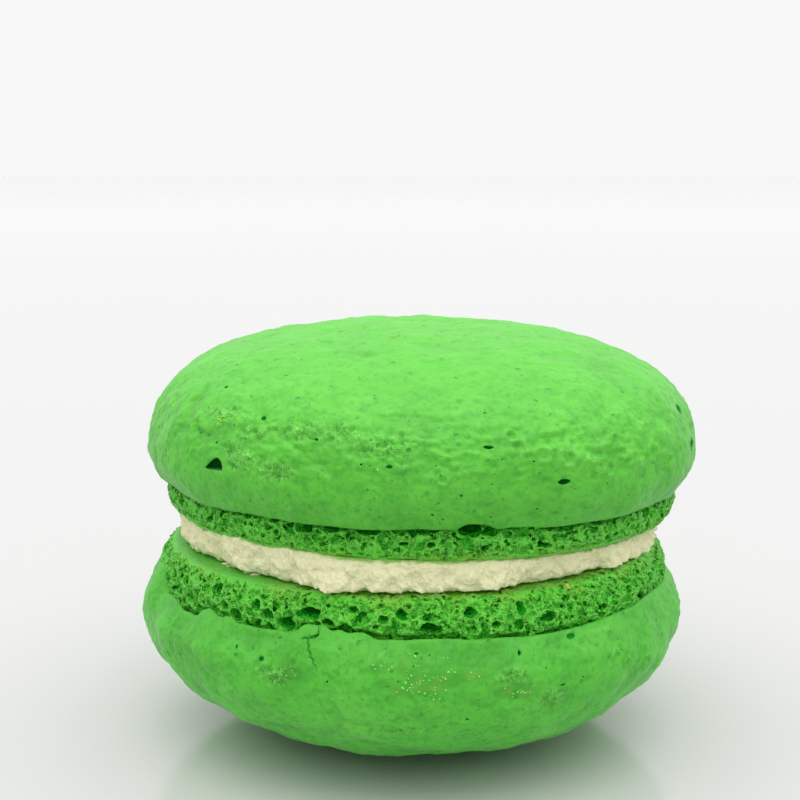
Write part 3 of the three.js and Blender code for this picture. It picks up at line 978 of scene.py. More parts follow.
def half_moon(bm, point, facing, width, tall, depth):
    """Adds the cutter of the hole with a flat bottom and an arched top. It widens inwards."""
    side = Vector((0, 0, 1)).cross(facing).normalized()
    rise = facing.cross(side)
    rows = []
    # the crust is thin over a wide hollow
    for out, scale in ((0.8, 1.0), (-0.1, 1.0), (-0.35, 1.5), (-0.75 * depth, 1.6), (-depth, 0.9)):
        middle = point + facing * out - rise * 0.45 * tall
        rows.append([
            bm.verts.new(middle + side * (x * width / 2 * scale) + rise * (y * tall * scale))
            for x, y in HALF_MOON_OUTLINE
        ])
    join_loops(bm, rows)
    bm.faces.new(rows[0])
    bm.faces.new(reversed(rows[-1]))


class MACARON_OT_crusts(bpy.types.Operator):
    """Makes the baked crust of each shell, with its relief, holes and crack"""

    bl_idname = "macaron.crusts"
    bl_label = "Crusts"

    def execute(self, context):
        settings = context.scene.macaron
        tree = crust_tree()
        material = crust_material(settings)
        # the lower crust is lumpier, with weaker ripples
        for name, band, lumps, ripples in (("lower", 5.0, 2.0, 0.4), ("upper", 8.2, 1.2, 1.0)):
            shell = Shell(name)
            obj = new_object(name + "_crust", crust_mesh(shell))
            run_tree(obj, tree, {
                "Lump size": settings.lump_size / MM,
                "Lump depth": lumps * settings.lump_depth / MM,
                "Ripple size": settings.ripple_size / MM,
                "Ripple depth": ripples * settings.ripple_depth / MM,
                "Ripple band": band,
                "Pit spacing": settings.pit_spacing / MM,
                "Pit depth": settings.pit_depth / MM,
                "Grain size": settings.grain_size / MM,
                "Grain depth": settings.grain_depth / MM,
                "Seed": float(shell.seed),
                "Material": material,
            })
            thin(obj, CRUST_TRIANGLES)
            cut(obj, name + "_holes", lambda bm: crust_holes(bm, shell))
            if shell.up < 0:
                for run in CRACK_RUNS:
                    cut(obj, "crack", lambda bm: wedge(bm, shell, run))
            obj.data.materials.clear()
            obj.data.materials.append(material)
            place_shell(obj, shell)
            if shell.up < 0:
                stand_flat(obj)
            finish_piece(obj, "crust", shell.node)
        return {"FINISHED"}


# ---------------------------------------------------------------- feet


def rim_guide(shell):
    """A circle of points that holds the outline and the height of the lip all round."""
    angles = turn_angles(1800)
    mesh = new_mesh("rim", ring(angles, 1.0, 0.0), np.empty((0, 3), int))
    store(mesh, "outline", shell.outline(angles))
    lips = shell.lip_height(angles)
    store(mesh, "lip", lips)
    store(mesh, "calm", smooth(shell.lip - lips, 0.4, 1.3))
    for name in ("hang", "grooved", "crumbly"):
        store(mesh, name, shell.by_angle(name, angles))
    return new_object("rim", mesh)


def cavern_guide(shell):
    """Points at the middles of a foot's wide bubbles: the named ones, and others scattered along the lip."""
    rng = random.Random(100 + shell.seed)
    bubbles = list(shell.caverns)
    step = 360 / CAVERNS_ROUND
    for n in range(CAVERNS_ROUND):
        degrees = -180 + step * (n + rng.uniform(0.1, 0.9))
        width = mix(0.7, 1.5, rng.random() ** 1.5)
        height = mix(0.9, shell.lip - 0.35, rng.random() ** 0.6)
        apart_enough = DEGREES * CAVERNS_APART / shell.foot_radius
        if all(abs(degrees - other[0]) > apart_enough * (0.5 + other[3]) for other in bubbles):
            bubbles.append((degrees, height, rng.uniform(0.1, 0.5), width, width * rng.uniform(0.5, 0.8)))
    angles = np.radians([bubble[0] for bubble in bubbles])
    heights, depths, widths, talls = [np.array([bubble[k] for bubble in bubbles]) for k in (1, 2, 3, 4)]
    swell = (1 - np.maximum(0, 1 - heights / shell.foot_turn) ** shell.foot_curve) ** (1 / shell.foot_curve)
    radius = mix(shell.face_radius, shell.foot_radius, swell) + swell * shell.outline(angles) - depths
    points = np.stack([radius * np.cos(angles), radius * np.sin(angles), heights], 1)
    mesh = new_mesh("caverns", points, np.empty((0, 3), int))
    store(mesh, "half_width", widths / 2)
    store(mesh, "flatness", widths / talls)
    return new_object("caverns", mesh)


def foot_tree():
    """Geometry Nodes for a foot's crumb: a band of volume with bubbles taken out, turned into a mesh."""
    tree, given = new_tree("Foot crumb", {
        "Rim": ("Object", None),
        "Caverns": ("Object", None),
        "Foot radius": ("Float", 21.0),
        "Face radius": ("Float", 19.7),
        "Foot turn": ("Float", 1.6),
        "Foot curve": ("Float", 1.5),
        "Groove depth": ("Float", 0.8),
        "Top": ("Float", 3.6),
        "Crumb size": ("Float", 1.4),
        "Crumb depth": ("Float", 0.3),
        "Bubble size": ("Float", 1.2),
        "Smooth rim": ("Float", 0.3),
        "Seed": ("Float", 1.0),
        "Corner": ("Vector", (22.5, 22.5, 4.0)),
        "Across": ("Int", 300),
        "Upwards": ("Int", 30),
        "Material": ("Material", None),
    })
    here, place = places(tree, given["Seed"], 11.9)
    parts = add(tree, "SeparateXYZ", {0: here}).node.outputs
    height = parts["Z"]
    flat = add(tree, "CombineXYZ", {"X": parts["X"], "Y": parts["Y"]})
    radius = add(tree, "VectorMath", {0: flat}, output="Value", operation="LENGTH")
    direction = add(tree, "VectorMath", {0: flat}, operation="NORMALIZE")

    # the outline and the lip at this angle
    rim = add(tree, "GeometryNodeObjectInfo", {"Object": given["Rim"]}, output="Geometry")
    nearest = add(tree, "GeometryNodeSampleNearest", {"Geometry": rim, "Sample Position": direction})
    read = []
    for name in ("outline", "lip", "calm", "hang", "grooved", "crumbly"):
        kept = add(tree, "GeometryNodeInputNamedAttribute", {"Name": name})
        read.append(add(tree, "GeometryNodeSampleIndex", {"Geometry": rim, "Value": kept, "Index": nearest}))
    outline, lip, calm, hang, grooved, crumbly = read

    # the smooth side of the foot: it swells out of the face, and dips into the groove under the lip
    turned = add(tree, "Math", {0: height, 1: given["Foot turn"]}, operation="DIVIDE")
    to_turn = add(tree, "Math", {0: 1.0, 1: turned}, operation="SUBTRACT", use_clamp=True)
    bend = add(tree, "Math", {0: to_turn, 1: given["Foot curve"]}, operation="POWER")
    rest = add(tree, "Math", {0: 1.0, 1: bend}, operation="SUBTRACT", use_clamp=True)
    root = add(tree, "Math", {0: 1.0, 1: given["Foot curve"]}, operation="DIVIDE")
    swell = add(tree, "Math", {0: rest, 1: root}, operation="POWER")
    grown = add(tree, "Math", {0: given["Foot radius"], 1: given["Face radius"]}, operation="SUBTRACT")
    grown = add(tree, "Math", {0: grown, 1: outline}, operation="ADD")
    side = add(tree, "Math", {0: swell, 1: grown, 2: given["Face radius"]}, operation="MULTIPLY_ADD")
    under_lip = add(tree, "Math", {0: height, 1: lip}, operation="SUBTRACT")
    groove = add(tree, "MapRange", {
        "Value": under_lip, "From Min": -0.5, "From Max": 0.15,
    }, interpolation_type="SMOOTHSTEP")
    # here and there the crumb still hangs on to the lip
    hold = add(tree, "TexNoise", {"Vector": place, "Scale": 0.35, "Detail": 1.0})
    hold = add(tree, "MapRange", {
        "Value": hold, "From Min": 0.35, "From Max": 0.6, "To Min": 0.25, "To Max": 1.15,
    })
    groove = add(tree, "Math", {0: groove, 1: given["Groove depth"]}, operation="MULTIPLY")
    groove = add(tree, "Math", {0: groove, 1: hold}, operation="MULTIPLY")
    # where the crust reaches far over the foot it lies flush with it
    open_edge = add(tree, "Math", {0: 1.0, 1: calm}, operation="SUBTRACT")
    for share in (open_edge, grooved):
        groove = add(tree, "Math", {0: groove, 1: share}, operation="MULTIPLY")
    side = add(tree, "Math", {0: side, 1: groove}, operation="SUBTRACT")

    # lumps of crumb, two sizes
    lumps = lumps_of(tree, place, given["Crumb size"], Detail=4.0, Roughness=0.66)
    crumb_depth = add(tree, "Math", {0: given["Crumb depth"], 1: 3.0}, operation="MULTIPLY")
    least = add(tree, "MapRange", {"Value": crumbly, "To Min": 0.12, "To Max": 0.8})
    full = add(tree, "MapRange", {
        "Value": height, "From Max": given["Smooth rim"], "To Min": least,
    }, interpolation_type="SMOOTHSTEP")
    crumb_depth = add(tree, "Math", {0: crumb_depth, 1: full}, operation="MULTIPLY")
    side = add(tree, "Math", {0: lumps, 1: crumb_depth, 2: side}, operation="MULTIPLY_ADD")
    depth = add(tree, "Math", {0: side, 1: radius}, operation="SUBTRACT")

    # the band of crumb: inside the side, above the face, and up into the crust
    inner = add(tree, "Math", {0: radius, 1: FOOT_INSIDE}, operation="SUBTRACT")
    outer = add(tree, "MapRange", {"Value": radius, "From Min": 18.6, "From Max": 19.3})
    rough_face = add(tree, "Math", {0: crumbly, 1: outer}, operation="MULTIPLY")
    rough_face = add(tree, "MapRange", {"Value": rough_face, "To Min": 0.1, "To Max": 1.1})
    unevenness = add(tree, "Math", {0: lumps, 1: rough_face, 2: height}, operation="MULTIPLY_ADD")
    hang = add(tree, "Math", {0: hang, 1: outer}, operation="MULTIPLY")
    unevenness = add(tree, "Math", {0: unevenness, 1: hang}, operation="ADD")
    below_top = add(tree, "Math", {0: given["Top"], 1: height}, operation="SUBTRACT")
    band = add(tree, "Math", {0: depth, 1: unevenness, 2: 0.16}, operation="SMOOTH_MIN")
    for limit in (inner, below_top):
        band = add(tree, "Math", {0: band, 1: limit}, operation="MINIMUM")

    # bubbles of three sizes, bent out of round, wider towards the lip and only near the side
    warp = add(tree, "TexNoise", {"Vector": place, "Scale": 1.1, "Detail": 1.0}, output="Color")
    warp = add(tree, "VectorMath", {0: warp, "Scale": 0.5}, operation="SCALE")
    bent = add(tree, "VectorMath", {0: place, 1: warp}, operation="ADD")
    # where the face is crumbly they start closer to it
    raised = add(tree, "Math", {0: crumbly, 1: 0.65, 2: height}, operation="MULTIPLY_ADD")
    nearest_air = add(tree, "Math", {0: depth, 1: height}, operation="MINIMUM")
    covered = add(tree, "Math", {0: 18.9, 1: radius}, operation="SUBTRACT")
    carved = None
    for share, fill, start, end, reach in (
        (1.0, 0.34, 1.0, 2.0, 0.9),
        (0.55, 0.38, 0.4, 1.3, 0.5),
        (0.3, 0.46, 0.15, 0.7, 0.3),
    ):
        size = add(tree, "Math", {0: given["Bubble size"], 1: share}, operation="MULTIPLY")
        scale = add(tree, "Math", {0: 1.0, 1: size}, operation="DIVIDE")
        cells = add(tree, "TexVoronoi", {"Vector": bent, "Scale": scale}).node.outputs
        luck = add(tree, "SeparateXYZ", {0: cells["Color"]}, output="X")
        wide = add(tree, "MapRange", {"Value": luck, "To Min": 0.7 * fill, "To Max": 1.2 * fill})
        room = add(tree, "MapRange", {
            "Value": raised, "From Min": start, "From Max": end, "To Min": -0.6, "To Max": 0.0,
        }, interpolation_type="SMOOTHSTEP")
        wide = add(tree, "Math", {0: wide, 1: room}, operation="ADD")
        hollow = add(tree, "Math", {0: wide, 1: cells["Distance"]}, operation="SUBTRACT")
        hollow = add(tree, "Math", {0: hollow, 1: size}, operation="MULTIPLY")
        deep = add(tree, "Math", {0: nearest_air, 1: reach}, operation="SUBTRACT")
        deep = add(tree, "Math", {0: deep, 1: covered}, operation="MAXIMUM")
        deep = add(tree, "Math", {0: deep, 1: 0.0}, operation="MAXIMUM")
        hollow = add(tree, "Math", {0: hollow, 1: deep}, operation="SUBTRACT")
        if carved is None:
            carved = hollow
        else:
            carved = add(tree, "Math", {0: carved, 1: hollow}, operation="MAXIMUM")

    # the caverns: the nearest middle decides, and each is squashed by its own flatness
    caverns = add(tree, "GeometryNodeObjectInfo", {"Object": given["Caverns"]}, output="Geometry")
    wobble = add(tree, "VectorMath", {0: warp, 1: (0.25, 0.25, 0.25)}, operation="SUBTRACT")
    wobbly = add(tree, "VectorMath", {0: here, 1: wobble}, operation="ADD")
    closest = add(tree, "GeometryNodeSampleNearest", {"Geometry": caverns, "Sample Position": wobbly})
    middle = add(tree, "GeometryNodeSampleIndex", {
        "Geometry": caverns, "Value": here, "Index": closest,
    }, data_type="FLOAT_VECTOR")
    sizes = []
    for name in ("half_width", "flatness"):
        kept = add(tree, "GeometryNodeInputNamedAttribute", {"Name": name})
        sizes.append(add(tree, "GeometryNodeSampleIndex", {
            "Geometry": caverns, "Value": kept, "Index": closest,
        }))
    away = add(tree, "VectorMath", {0: wobbly, 1: middle}, operation="SUBTRACT")
    # a cavern runs inwards over twice as far as it is wide
    inwards = add(tree, "VectorMath", {0: away, 1: direction}, output="Value", operation="DOT_PRODUCT")
    inwards = add(tree, "Math", {0: inwards, 1: 0.6}, operation="MULTIPLY")
    inwards = add(tree, "VectorMath", {0: direction, "Scale": inwards}, operation="SCALE")
    away = add(tree, "VectorMath", {0: away, 1: inwards}, operation="SUBTRACT")
    squash = add(tree, "CombineXYZ", {"X": 1.0, "Y": 1.0, "Z": sizes[1]})
    away = add(tree, "VectorMath", {0: away, 1: squash}, operation="MULTIPLY")
    away = add(tree, "VectorMath", {0: away}, output="Value", operation="LENGTH")
    cavern = add(tree, "Math", {0: sizes[0], 1: away}, operation="SUBTRACT")
    # the wall round a cavern's mouth stays whole
    wall = add(tree, "Math", {0: cavern, 1: 0.26}, operation="ADD")
    wall = add(tree, "Math", {0: wall, 1: 0.0}, operation="MAXIMUM")
    carved = add(tree, "Math", {0: carved, 1: wall}, operation="SUBTRACT")
    carved = add(tree, "Math", {0: carved, 1: cavern}, operation="MAXIMUM")

    solid = add(tree, "Math", {0: carved, 1: -1.0}, operation="MULTIPLY")
    solid = add(tree, "Math", {0: band, 1: solid, 2: 0.04}, operation="SMOOTH_MIN")
    density = add(tree, "Math", {0: solid, 1: 1.0}, operation="ADD")
    opposite = add(tree, "VectorMath", {0: given["Corner"], 1: (-1.0, -1.0, 0.0)}, operation="MULTIPLY")
    opposite = add(tree, "VectorMath", {0: opposite, 1: (0.0, 0.0, 0.5)}, operation="SUBTRACT")
    volume = add(tree, "GeometryNodeVolumeCube", {
        "Density": density, "Min": opposite, "Max": given["Corner"], "Resolution X": given["Across"],
        "Resolution Y": given["Across"], "Resolution Z": given["Upwards"],
    })
    mesh = add(tree, "GeometryNodeVolumeToMesh", {"Volume": volume, "Threshold": 1.0}, resolution_mode="GRID")

    # only the largest body stays: loose scraps and sealed bubbles go
    island = add(tree, "GeometryNodeInputMeshIsland", output="Island Index")
    count = add(tree, "GeometryNodeAccumulateField", {"Value": 1.0, "Group ID": island}, output="Total")
    most = add(tree, "GeometryNodeAttributeStatistic", {"Geometry": mesh, "Attribute": count}, output="Max")
    scrap = add(tree, "FunctionNodeCompare", {0: count, 1: most}, operation="LESS_THAN")
    body = add(tree, "GeometryNodeDeleteGeometry", {"Geometry": mesh, "Selection": scrap}, domain="POINT")
    # loose crumbs lie on the turn next to the face
    loose = add(tree, "MapRange", {"Value": height, "From Min": 1.3, "From Max": 0.5})
    rough = add(tree, "MapRange", {"Value": height, "From Min": 0.08, "From Max": 0.3})
    luck = add(tree, "TexNoise", {"Vector": place, "Scale": 0.3, "Detail": 1.0})
    luck = add(tree, "MapRange", {"Value": luck, "From Min": 0.42, "From Max": 0.6})
    loose = add(tree, "Math", {0: loose, 1: rough}, operation="MULTIPLY")
    loose = add(tree, "Math", {0: loose, 1: luck}, operation="MULTIPLY")
    for name, value in (("height", height), ("depth", depth), ("loose", loose), ("crumbly", crumbly)):
        body = add(tree, "GeometryNodeStoreNamedAttribute", {
            "Geometry": body, "Name": name, "Value": value,
        })
    close_tree(tree, body, given["Material"])
    return tree


class MACARON_OT_feet(bpy.types.Operator):
    """Makes the crumbly foot of each shell, with its bubbles"""

    bl_idname = "macaron.feet"
    bl_label = "Feet"

    def execute(self, context):
        settings = context.scene.macaron
        tree = foot_tree()
        material = foot_material(settings)
        for name in ("lower", "upper"):
            shell = Shell(name)
            rim, caverns = rim_guide(shell), cavern_guide(shell)
            top = shell.lip + FOOT_RISE
            corner = shell.foot_radius + 1.1
            start = new_mesh(name + "_foot", np.zeros((1, 3)), np.empty((0, 3), int))
            obj = new_object(name + "_foot", start)
            run_tree(obj, tree, {
                "Rim": rim,
                "Caverns": caverns,
                "Foot radius": shell.foot_radius,
                "Face radius": shell.face_radius,
                "Foot turn": shell.foot_turn,
                "Foot curve": shell.foot_curve,
                "Groove depth": shell.foot_radius - shell.groove_radius,
                "Top": top,
                "Crumb size": settings.crumb_size / MM,
                "Crumb depth": settings.crumb_depth / MM,
                "Bubble size": settings.bubble_size / MM,
                "Smooth rim": 0.35 if shell.up < 0 else 0.25,
                "Seed": float(shell.seed),
                "Corner": (corner, corner, top + 0.3),
                "Across": round(2 * corner / FOOT_VOXEL),
                "Upwards": round((top + 0.8) / FOOT_VOXEL),
                "Material": material,
            })
            discard(rim, caverns)
            thin(obj, FOOT_TRIANGLES)
            place_shell(obj, shell)
            finish_piece(obj, "foot", shell.node)
        return {"FINISHED"}


# ---------------------------------------------------------------- buttercream


def filling_mesh():
    """A closed disc between the two leaning faces, with a fine side."""
    lower, upper = Shell("lower"), Shell("upper")
    axis_x, axis_y = FILLING["axis"]

    def layer(count, radius, share):
        angles = turn_angles(count)
        degrees = np.degrees(angles)
        rim, climb = [np.interp(degrees, *zip(*FILLING[name]), period=360) for name in ("rim", "climb")]
        outer = smooth(np.asarray(radius), FILLING["radius"] - 1.6, FILLING["radius"] - 0.4)
        points = ring(angles, radius + outer * rim * mix(1.0, 0.2, share), 0.0)
        points += np.array([axis_x, axis_y, 0.0])
        bottom = face_height(lower, points[:, 0], points[:, 1]) - 0.04
        top = face_height(upper, points[:, 0], points[:, 1]) + 0.15 + outer * climb
        points[:, 2] = mix(bottom, top, share)
        return points

    count = round(2 * np.pi * FILLING["radius"] / FILLING_STEP)
    angles = turn_angles(count)
    rows = [layer(1, 0.0, 0.0), layer(24, INNER_RING, 0.0), layer(180, FILLING_CORE, 0.0)]
    caps = [layer(180, FILLING_CORE, 1.0), layer(24, INNER_RING, 1.0), layer(1, 0.0, 1.0)]
    shares = [0.0, 0.0, 0.0]
    steps = round(FILLING["space"] / FILLING_STEP) + 2
    x, y = FILLING["radius"] * np.cos(angles), FILLING["radius"] * np.sin(angles)
    # under its ragged lower edge the side draws in, which leaves a dark line over the shell
    hem = 0.26 + 0.16 * relief(x / 0.8, y / 0.8, 3.0) + 0.14 * relief(x / 0.3, y / 0.3, 8.0)
    for inset in (1.6, 1.2):
        rows.append(layer(count // 2, FILLING["radius"] - inset, 0.0))
    rows.append(layer(count, FILLING["radius"] - 0.8, 0.0))
    shares += [0.0, 0.0, 0.0]
    for share in np.linspace(0, 1, steps):
        height = share * FILLING["space"]
        bulge = FILLING["bulge"] * np.sin(np.pi * share)
        tuck = 0.75 * (1 - smooth(height, 0.0, hem))
        round_top = 0.2 * smooth(height, FILLING["space"] - 0.3, FILLING["space"]) ** 2
        rows.append(layer(count, FILLING["radius"] + bulge - tuck - round_top, share))
        shares.append(share)
    for inset in (0.6, 1.1):
        rows.append(layer(count // 2, FILLING["radius"] - inset, 1.0))
    rows += caps
    shares += [1.0] * 5
    points = np.concatenate(rows)
    mesh = new_mesh("buttercream", points, skin(rows))
    radius = np.hypot(points[:, 0] - axis_x, points[:, 1] - axis_y)
    store(mesh, "share", np.repeat(shares, [len(row) for row in rows]))
    store(mesh, "free", smooth(radius, FILLING["radius"] - 1.0, FILLING["radius"] - 0.3))
    return mesh


def filling_tree():
    """Geometry Nodes that tear the side of the buttercream: lumps, upright folds and a fine rag."""
    tree, given = new_tree("Torn buttercream", {
        "Tear size": ("Float", 1.3),
        "Tear depth": ("Float", 0.2),
        "Fold size": ("Float", 0.9),
        "Fold depth": ("Float", 0.14),
        "Seed": ("Float", 1.0),
        "Material": ("Material", None),
    })
    here, place = places(tree, given["Seed"], 7.7)
    tears = lumps_of(tree, place, given["Tear size"], Detail=4.0, Roughness=0.56, Distortion=0.3)
    tear_depth = add(tree, "Math", {0: given["Tear depth"], 1: 3.0}, operation="MULTIPLY")
    tears = add(tree, "Math", {0: tears, 1: tear_depth}, operation="MULTIPLY")
    # folds stand upright, so the pattern is stretched in height
    stretched = add(tree, "VectorMath", {0: place, 1: (1.0, 1.0, 0.35)}, operation="MULTIPLY")
    folds = lumps_of(tree, stretched, given["Fold size"], Detail=2.0)
    fold_depth = add(tree, "Math", {0: given["Fold depth"], 1: 3.0}, operation="MULTIPLY")
    total = add(tree, "Math", {0: folds, 1: fold_depth, 2: tears}, operation="MULTIPLY_ADD")
    free = add(tree, "GeometryNodeInputNamedAttribute", {"Name": "free"})
    share = add(tree, "GeometryNodeInputNamedAttribute", {"Name": "share"})
    total = add(tree, "Math", {0: total, 1: free}, operation="MULTIPLY")
    flat = add(tree, "VectorMath", {0: here, 1: (1.0, 1.0, 0.0)}, operation="MULTIPLY")
    outwards = add(tree, "VectorMath", {0: flat}, operation="NORMALIZE")
    offset = add(tree, "VectorMath", {0: outwards, "Scale": total}, operation="SCALE")
    # the rag also pulls points up and down, but not at the two faces
    rag = add(tree, "TexNoise", {"Vector": place, "Scale": 1.2, "Detail": 3.0}, output="Color")
    rag = add(tree, "VectorMath", {0: rag, 1: (0.5, 0.5, 0.5)}, operation="SUBTRACT")
    middle = add(tree, "MapRange", {"Value": share, "From Max": 0.12, "To Max": 0.8})
    off_top = add(tree, "MapRange", {"Value": share, "From Min": 1.0, "From Max": 0.8})
    middle = add(tree, "Math", {0: middle, 1: off_top}, operation="MULTIPLY")
    middle = add(tree, "Math", {0: middle, 1: free}, operation="MULTIPLY")
    rag = add(tree, "VectorMath", {0: rag, "Scale": middle}, operation="SCALE")
    offset = add(tree, "VectorMath", {0: offset, 1: rag}, operation="ADD")
    torn = add(tree, "GeometryNodeSetPosition", {"Geometry": given["Geometry"], "Offset": offset})
    close_tree(tree, torn, given["Material"])
    return tree


class MACARON_OT_buttercream(bpy.types.Operator):
    """Makes the torn layer of buttercream between the shells"""

    bl_idname = "macaron.buttercream"
    bl_label = "Buttercream"

    def execute(self, context):
        settings = context.scene.macaron
        obj = new_object("buttercream", filling_mesh())
        run_tree(obj, filling_tree(), {
            "Tear size": settings.tear_size / MM,
            "Tear depth": settings.tear_depth / MM,
            "Seed": float(FILLING["seed"]),
            "Material": buttercream_material(settings),
        })
        obj.data.transform(Matrix.Scale(MM, 4))
        finish_piece(obj, "buttercream", "filling")
        return {"FINISHED"}


# ---------------------------------------------------------------- sugar, crumbs and specks

# angle, height, half width and half height of a speck on the upper crust, all in millimetres but the angle
YELLOW_SPECKS = (
    (-134.2, 9.5, 0.1, 0.16), (-133.7, 9.36, 0.13, 0.13), (-133.2, 9.16, 0.1, 0.08),
    (-134.1, 9.16, 0.08, 0.09), (-133.65, 9.63, 0.14, 0.08), (-133.0, 9.71, 0.14, 0.07),
    (-131.5, 9.83, 0.13, 0.06), (-132.3, 9.77, 0.08, 0.05), (-131.2, 9.57, 0.06, 0.06),
    (-134.0, 9.04, 0.06, 0.06), (-98.0, 7.2, 0.08, 0.06), (42.0, 8.8, 0.16, 0.1), (43.0, 9.1, 0.1, 0.07),
    (150.0, 11.0, 0.14, 0.09),
)
ORANGE_SPECKS_AND_PAINTED_SHADE = (
    (-105.9, 14.75, 0.24, 0.09), (-103.6, 14.8, 0.1, 0.05), (-106.5, 14.6, 0.07, 0.05),
    # the first of these is no fleck but a dark smudge of painted shade beside the yellow specks
    (-133.2, 9.32, 0.09, 0.18), (95.0, 12.2, 0.2, 0.1),
)
# crumbs on the lower inner face: angle, radius, half width, half depth
ORANGE_CRUMBS = ((-55.0, 20.3, 0.26, 0.17), (-54.3, 20.5, 0.1, 0.08), (30.0, 20.0, 0.15, 0.12))
CREAM_CRUMBS = (
    (-141.4, 18.3, 0.5, 0.12), (-139.0, 18.35, 0.5, 0.12), (-131.8, 18.6, 0.5, 0.1),
    (-129.6, 18.6, 0.45, 0.1), (110.0, 19.3, 0.3, 0.1),
)


def scatter_tree():
    """Geometry Nodes that strew uneven grains over a piece, as thickly as one of its attributes says."""
    tree, given = new_tree("Strewn grains", {
        "Ground": ("Object", None),
        "Where": ("String", "sugar"),
        "Grains in a square millimetre": ("Float", 4.0),
        "Smallest": ("Float", 0.05),
        "Largest": ("Float", 0.1),
        "Roundness": ("Int", 1),
        "Seed": ("Int", 1),
        "Material": ("Material", None),
    })
    ground = add(tree, "GeometryNodeObjectInfo", {"Object": given["Ground"]}, output="Geometry")
    share = add(tree, "GeometryNodeInputNamedAttribute", {"Name": given["Where"]})
    thick = add(tree, "Math", {0: given["Grains in a square millimetre"], 1: MM**-2}, operation="MULTIPLY")
    thick = add(tree, "Math", {0: thick, 1: share}, operation="MULTIPLY")
    points = add(tree, "GeometryNodeDistributePointsOnFaces", {
        "Mesh": ground, "Density": thick, "Seed": given["Seed"],
    })
    grain = add(tree, "GeometryNodeMeshIcoSphere", {"Radius": MM, "Subdivisions": given["Roundness"]})
    smallest = add(tree, "CombineXYZ", {
        "X": given["Smallest"], "Y": given["Smallest"], "Z": given["Smallest"],
    })
    largest = add(tree, "CombineXYZ", {"X": given["Largest"], "Y": given["Largest"], "Z": given["Largest"]})
    sizes = add(tree, "FunctionNodeRandomValue", {0: smallest, 1: largest, "Seed": given["Seed"]},
                data_type="FLOAT_VECTOR")
    turns = add(tree, "FunctionNodeRandomValue", {0: (0.0, 0.0, 0.0), 1: (6.28, 6.28, 6.28), "Seed": 7},
                data_type="FLOAT_VECTOR")
    grains = add(tree, "GeometryNodeInstanceOnPoints", {
        "Points": points, "Instance": grain, "Rotation": turns, "Scale": sizes,
    })
    real = add(tree, "GeometryNodeRealizeInstances", {"Geometry": grains})
    here = add(tree, "GeometryNodeInputPosition")
    dents = add(tree, "TexNoise", {"Vector": here, "Scale": 1 / (0.15 * MM), "Detail": 1.0}, output="Color")
    dents = add(tree, "VectorMath", {0: dents, 1: (0.5, 0.5, 0.5)}, operation="SUBTRACT")
    reach = add(tree, "Math", {0: given["Largest"], 1: 1.2 * MM}, operation="MULTIPLY")
    dents = add(tree, "VectorMath", {0: dents, "Scale": reach}, operation="SCALE")
    uneven = add(tree, "GeometryNodeSetPosition", {"Geometry": real, "Offset": dents})
    close_tree(tree, uneven, given["Material"])
    return tree


def specks(name, ground, spots, thickness, material):
    """Small uneven flecks half sunk in a piece. A spot is (point in metres, half width, half height)."""
    rng = random.Random(len(spots))
    bm = bmesh.new()
    for middle, half_width, half_height in spots:
        _found, point, facing, _face = ground.closest_point_on_mesh(middle)
        fleck = bmesh.ops.create_icosphere(bm, subdivisions=2, radius=1)["verts"]
        side = Vector((0, 1, 0)).cross(facing).normalized()
        turn = Matrix((side * half_width, facing.cross(side) * half_height, facing * thickness)).transposed()
        for vert in fleck:
            vert.co = (turn @ (vert.co * rng.uniform(0.75, 1.2))) * MM + point
    mesh = bpy.data.meshes.new(name)
    bm.to_mesh(mesh)
    bm.free()
    mesh.materials.append(material)
    return new_object(name, mesh)


class MACARON_OT_toppings(bpy.types.Operator):
    """Strews sugar grains, crumbs and small specks over the shells"""

    bl_idname = "macaron.toppings"
    bl_label = "Sugar, crumbs and specks"

    def execute(self, context):
        settings = context.scene.macaron
        tree = scatter_tree()
        pieces = bpy.data.objects
        # grains caught in the crust take on its green and are painted pale, partly a painted glint, and glint
        # a little
        sugar = plain_material("granulated sugar", linear("#a0ee78"), 0.4, 1.54)
        crumb = foot_material(settings)
        for name, ground, where, thick, smallest, largest, roundness, material in (
            ("sugar_lower", "lower_crust", "sugar", 5.0, 0.03, 0.1, 1, sugar),
            ("sugar_upper", "upper_crust", "sugar", 4.0, 0.02, 0.06, 1, sugar),
            ("green_crumbs", "lower_foot", "loose", 3.0, 0.06, 0.19, 2, crumb),
        ):
            obj = new_object(name, new_mesh(name, np.zeros((1, 3)), np.empty((0, 3), int)))
            run_tree(obj, tree, {
                "Ground": pieces[ground],
                "Where": where,
                "Grains in a square millimetre": thick,
                "Smallest": smallest,
                "Largest": largest,
                "Roundness": roundness,
                "Seed": 11,
                "Material": material,
            })
            finish_piece(obj, "foot" if name == "green_crumbs" else "crust")
        upper, lower = Shell("upper"), Shell("lower")

        def on_crust(degrees, height):
            return shell_matrix(upper) @ upper.crust_point(degrees, height)[0]

        def on_face(degrees, radius):
            angle = math.radians(degrees)
            return shell_matrix(lower) @ Vector((radius * math.cos(angle), radius * math.sin(angle), -0.1))

        # flecks baked into the crust are dull; the brown also paints a smudge of shade beside the yellow
        # specks
        brown = plain_material("baked brown sugar", linear("#8cb41c"), 0.5)
        toasted = plain_material("toasted almond crumb", linear("#cccc4a"), 0.5)
        almond = plain_material("ground almond skin", linear("#a4f444"), 0.5)
        cream = buttercream_material(settings)
        for name, ground, place, spots, thickness, material, slot in (
            ("yellow_specks", "upper_crust", on_crust, YELLOW_SPECKS, 0.07, almond, "crust"),
            ("orange_specks", "upper_crust", on_crust, ORANGE_SPECKS_AND_PAINTED_SHADE, 0.07, brown, "crust"),
            ("orange_crumbs", "lower_foot", on_face, ORANGE_CRUMBS, 0.14, toasted, "crust"),
            ("cream_crumbs", "lower_foot", on_face, CREAM_CRUMBS, 0.13, cream, "buttercream"),
        ):
            spots = [(place(*spot[:2]), *spot[2:]) for spot in spots]
            finish_piece(specks(name, pieces[ground], spots, thickness, material), slot)
        return {"FINISHED"}


# ---------------------------------------------------------------- materials


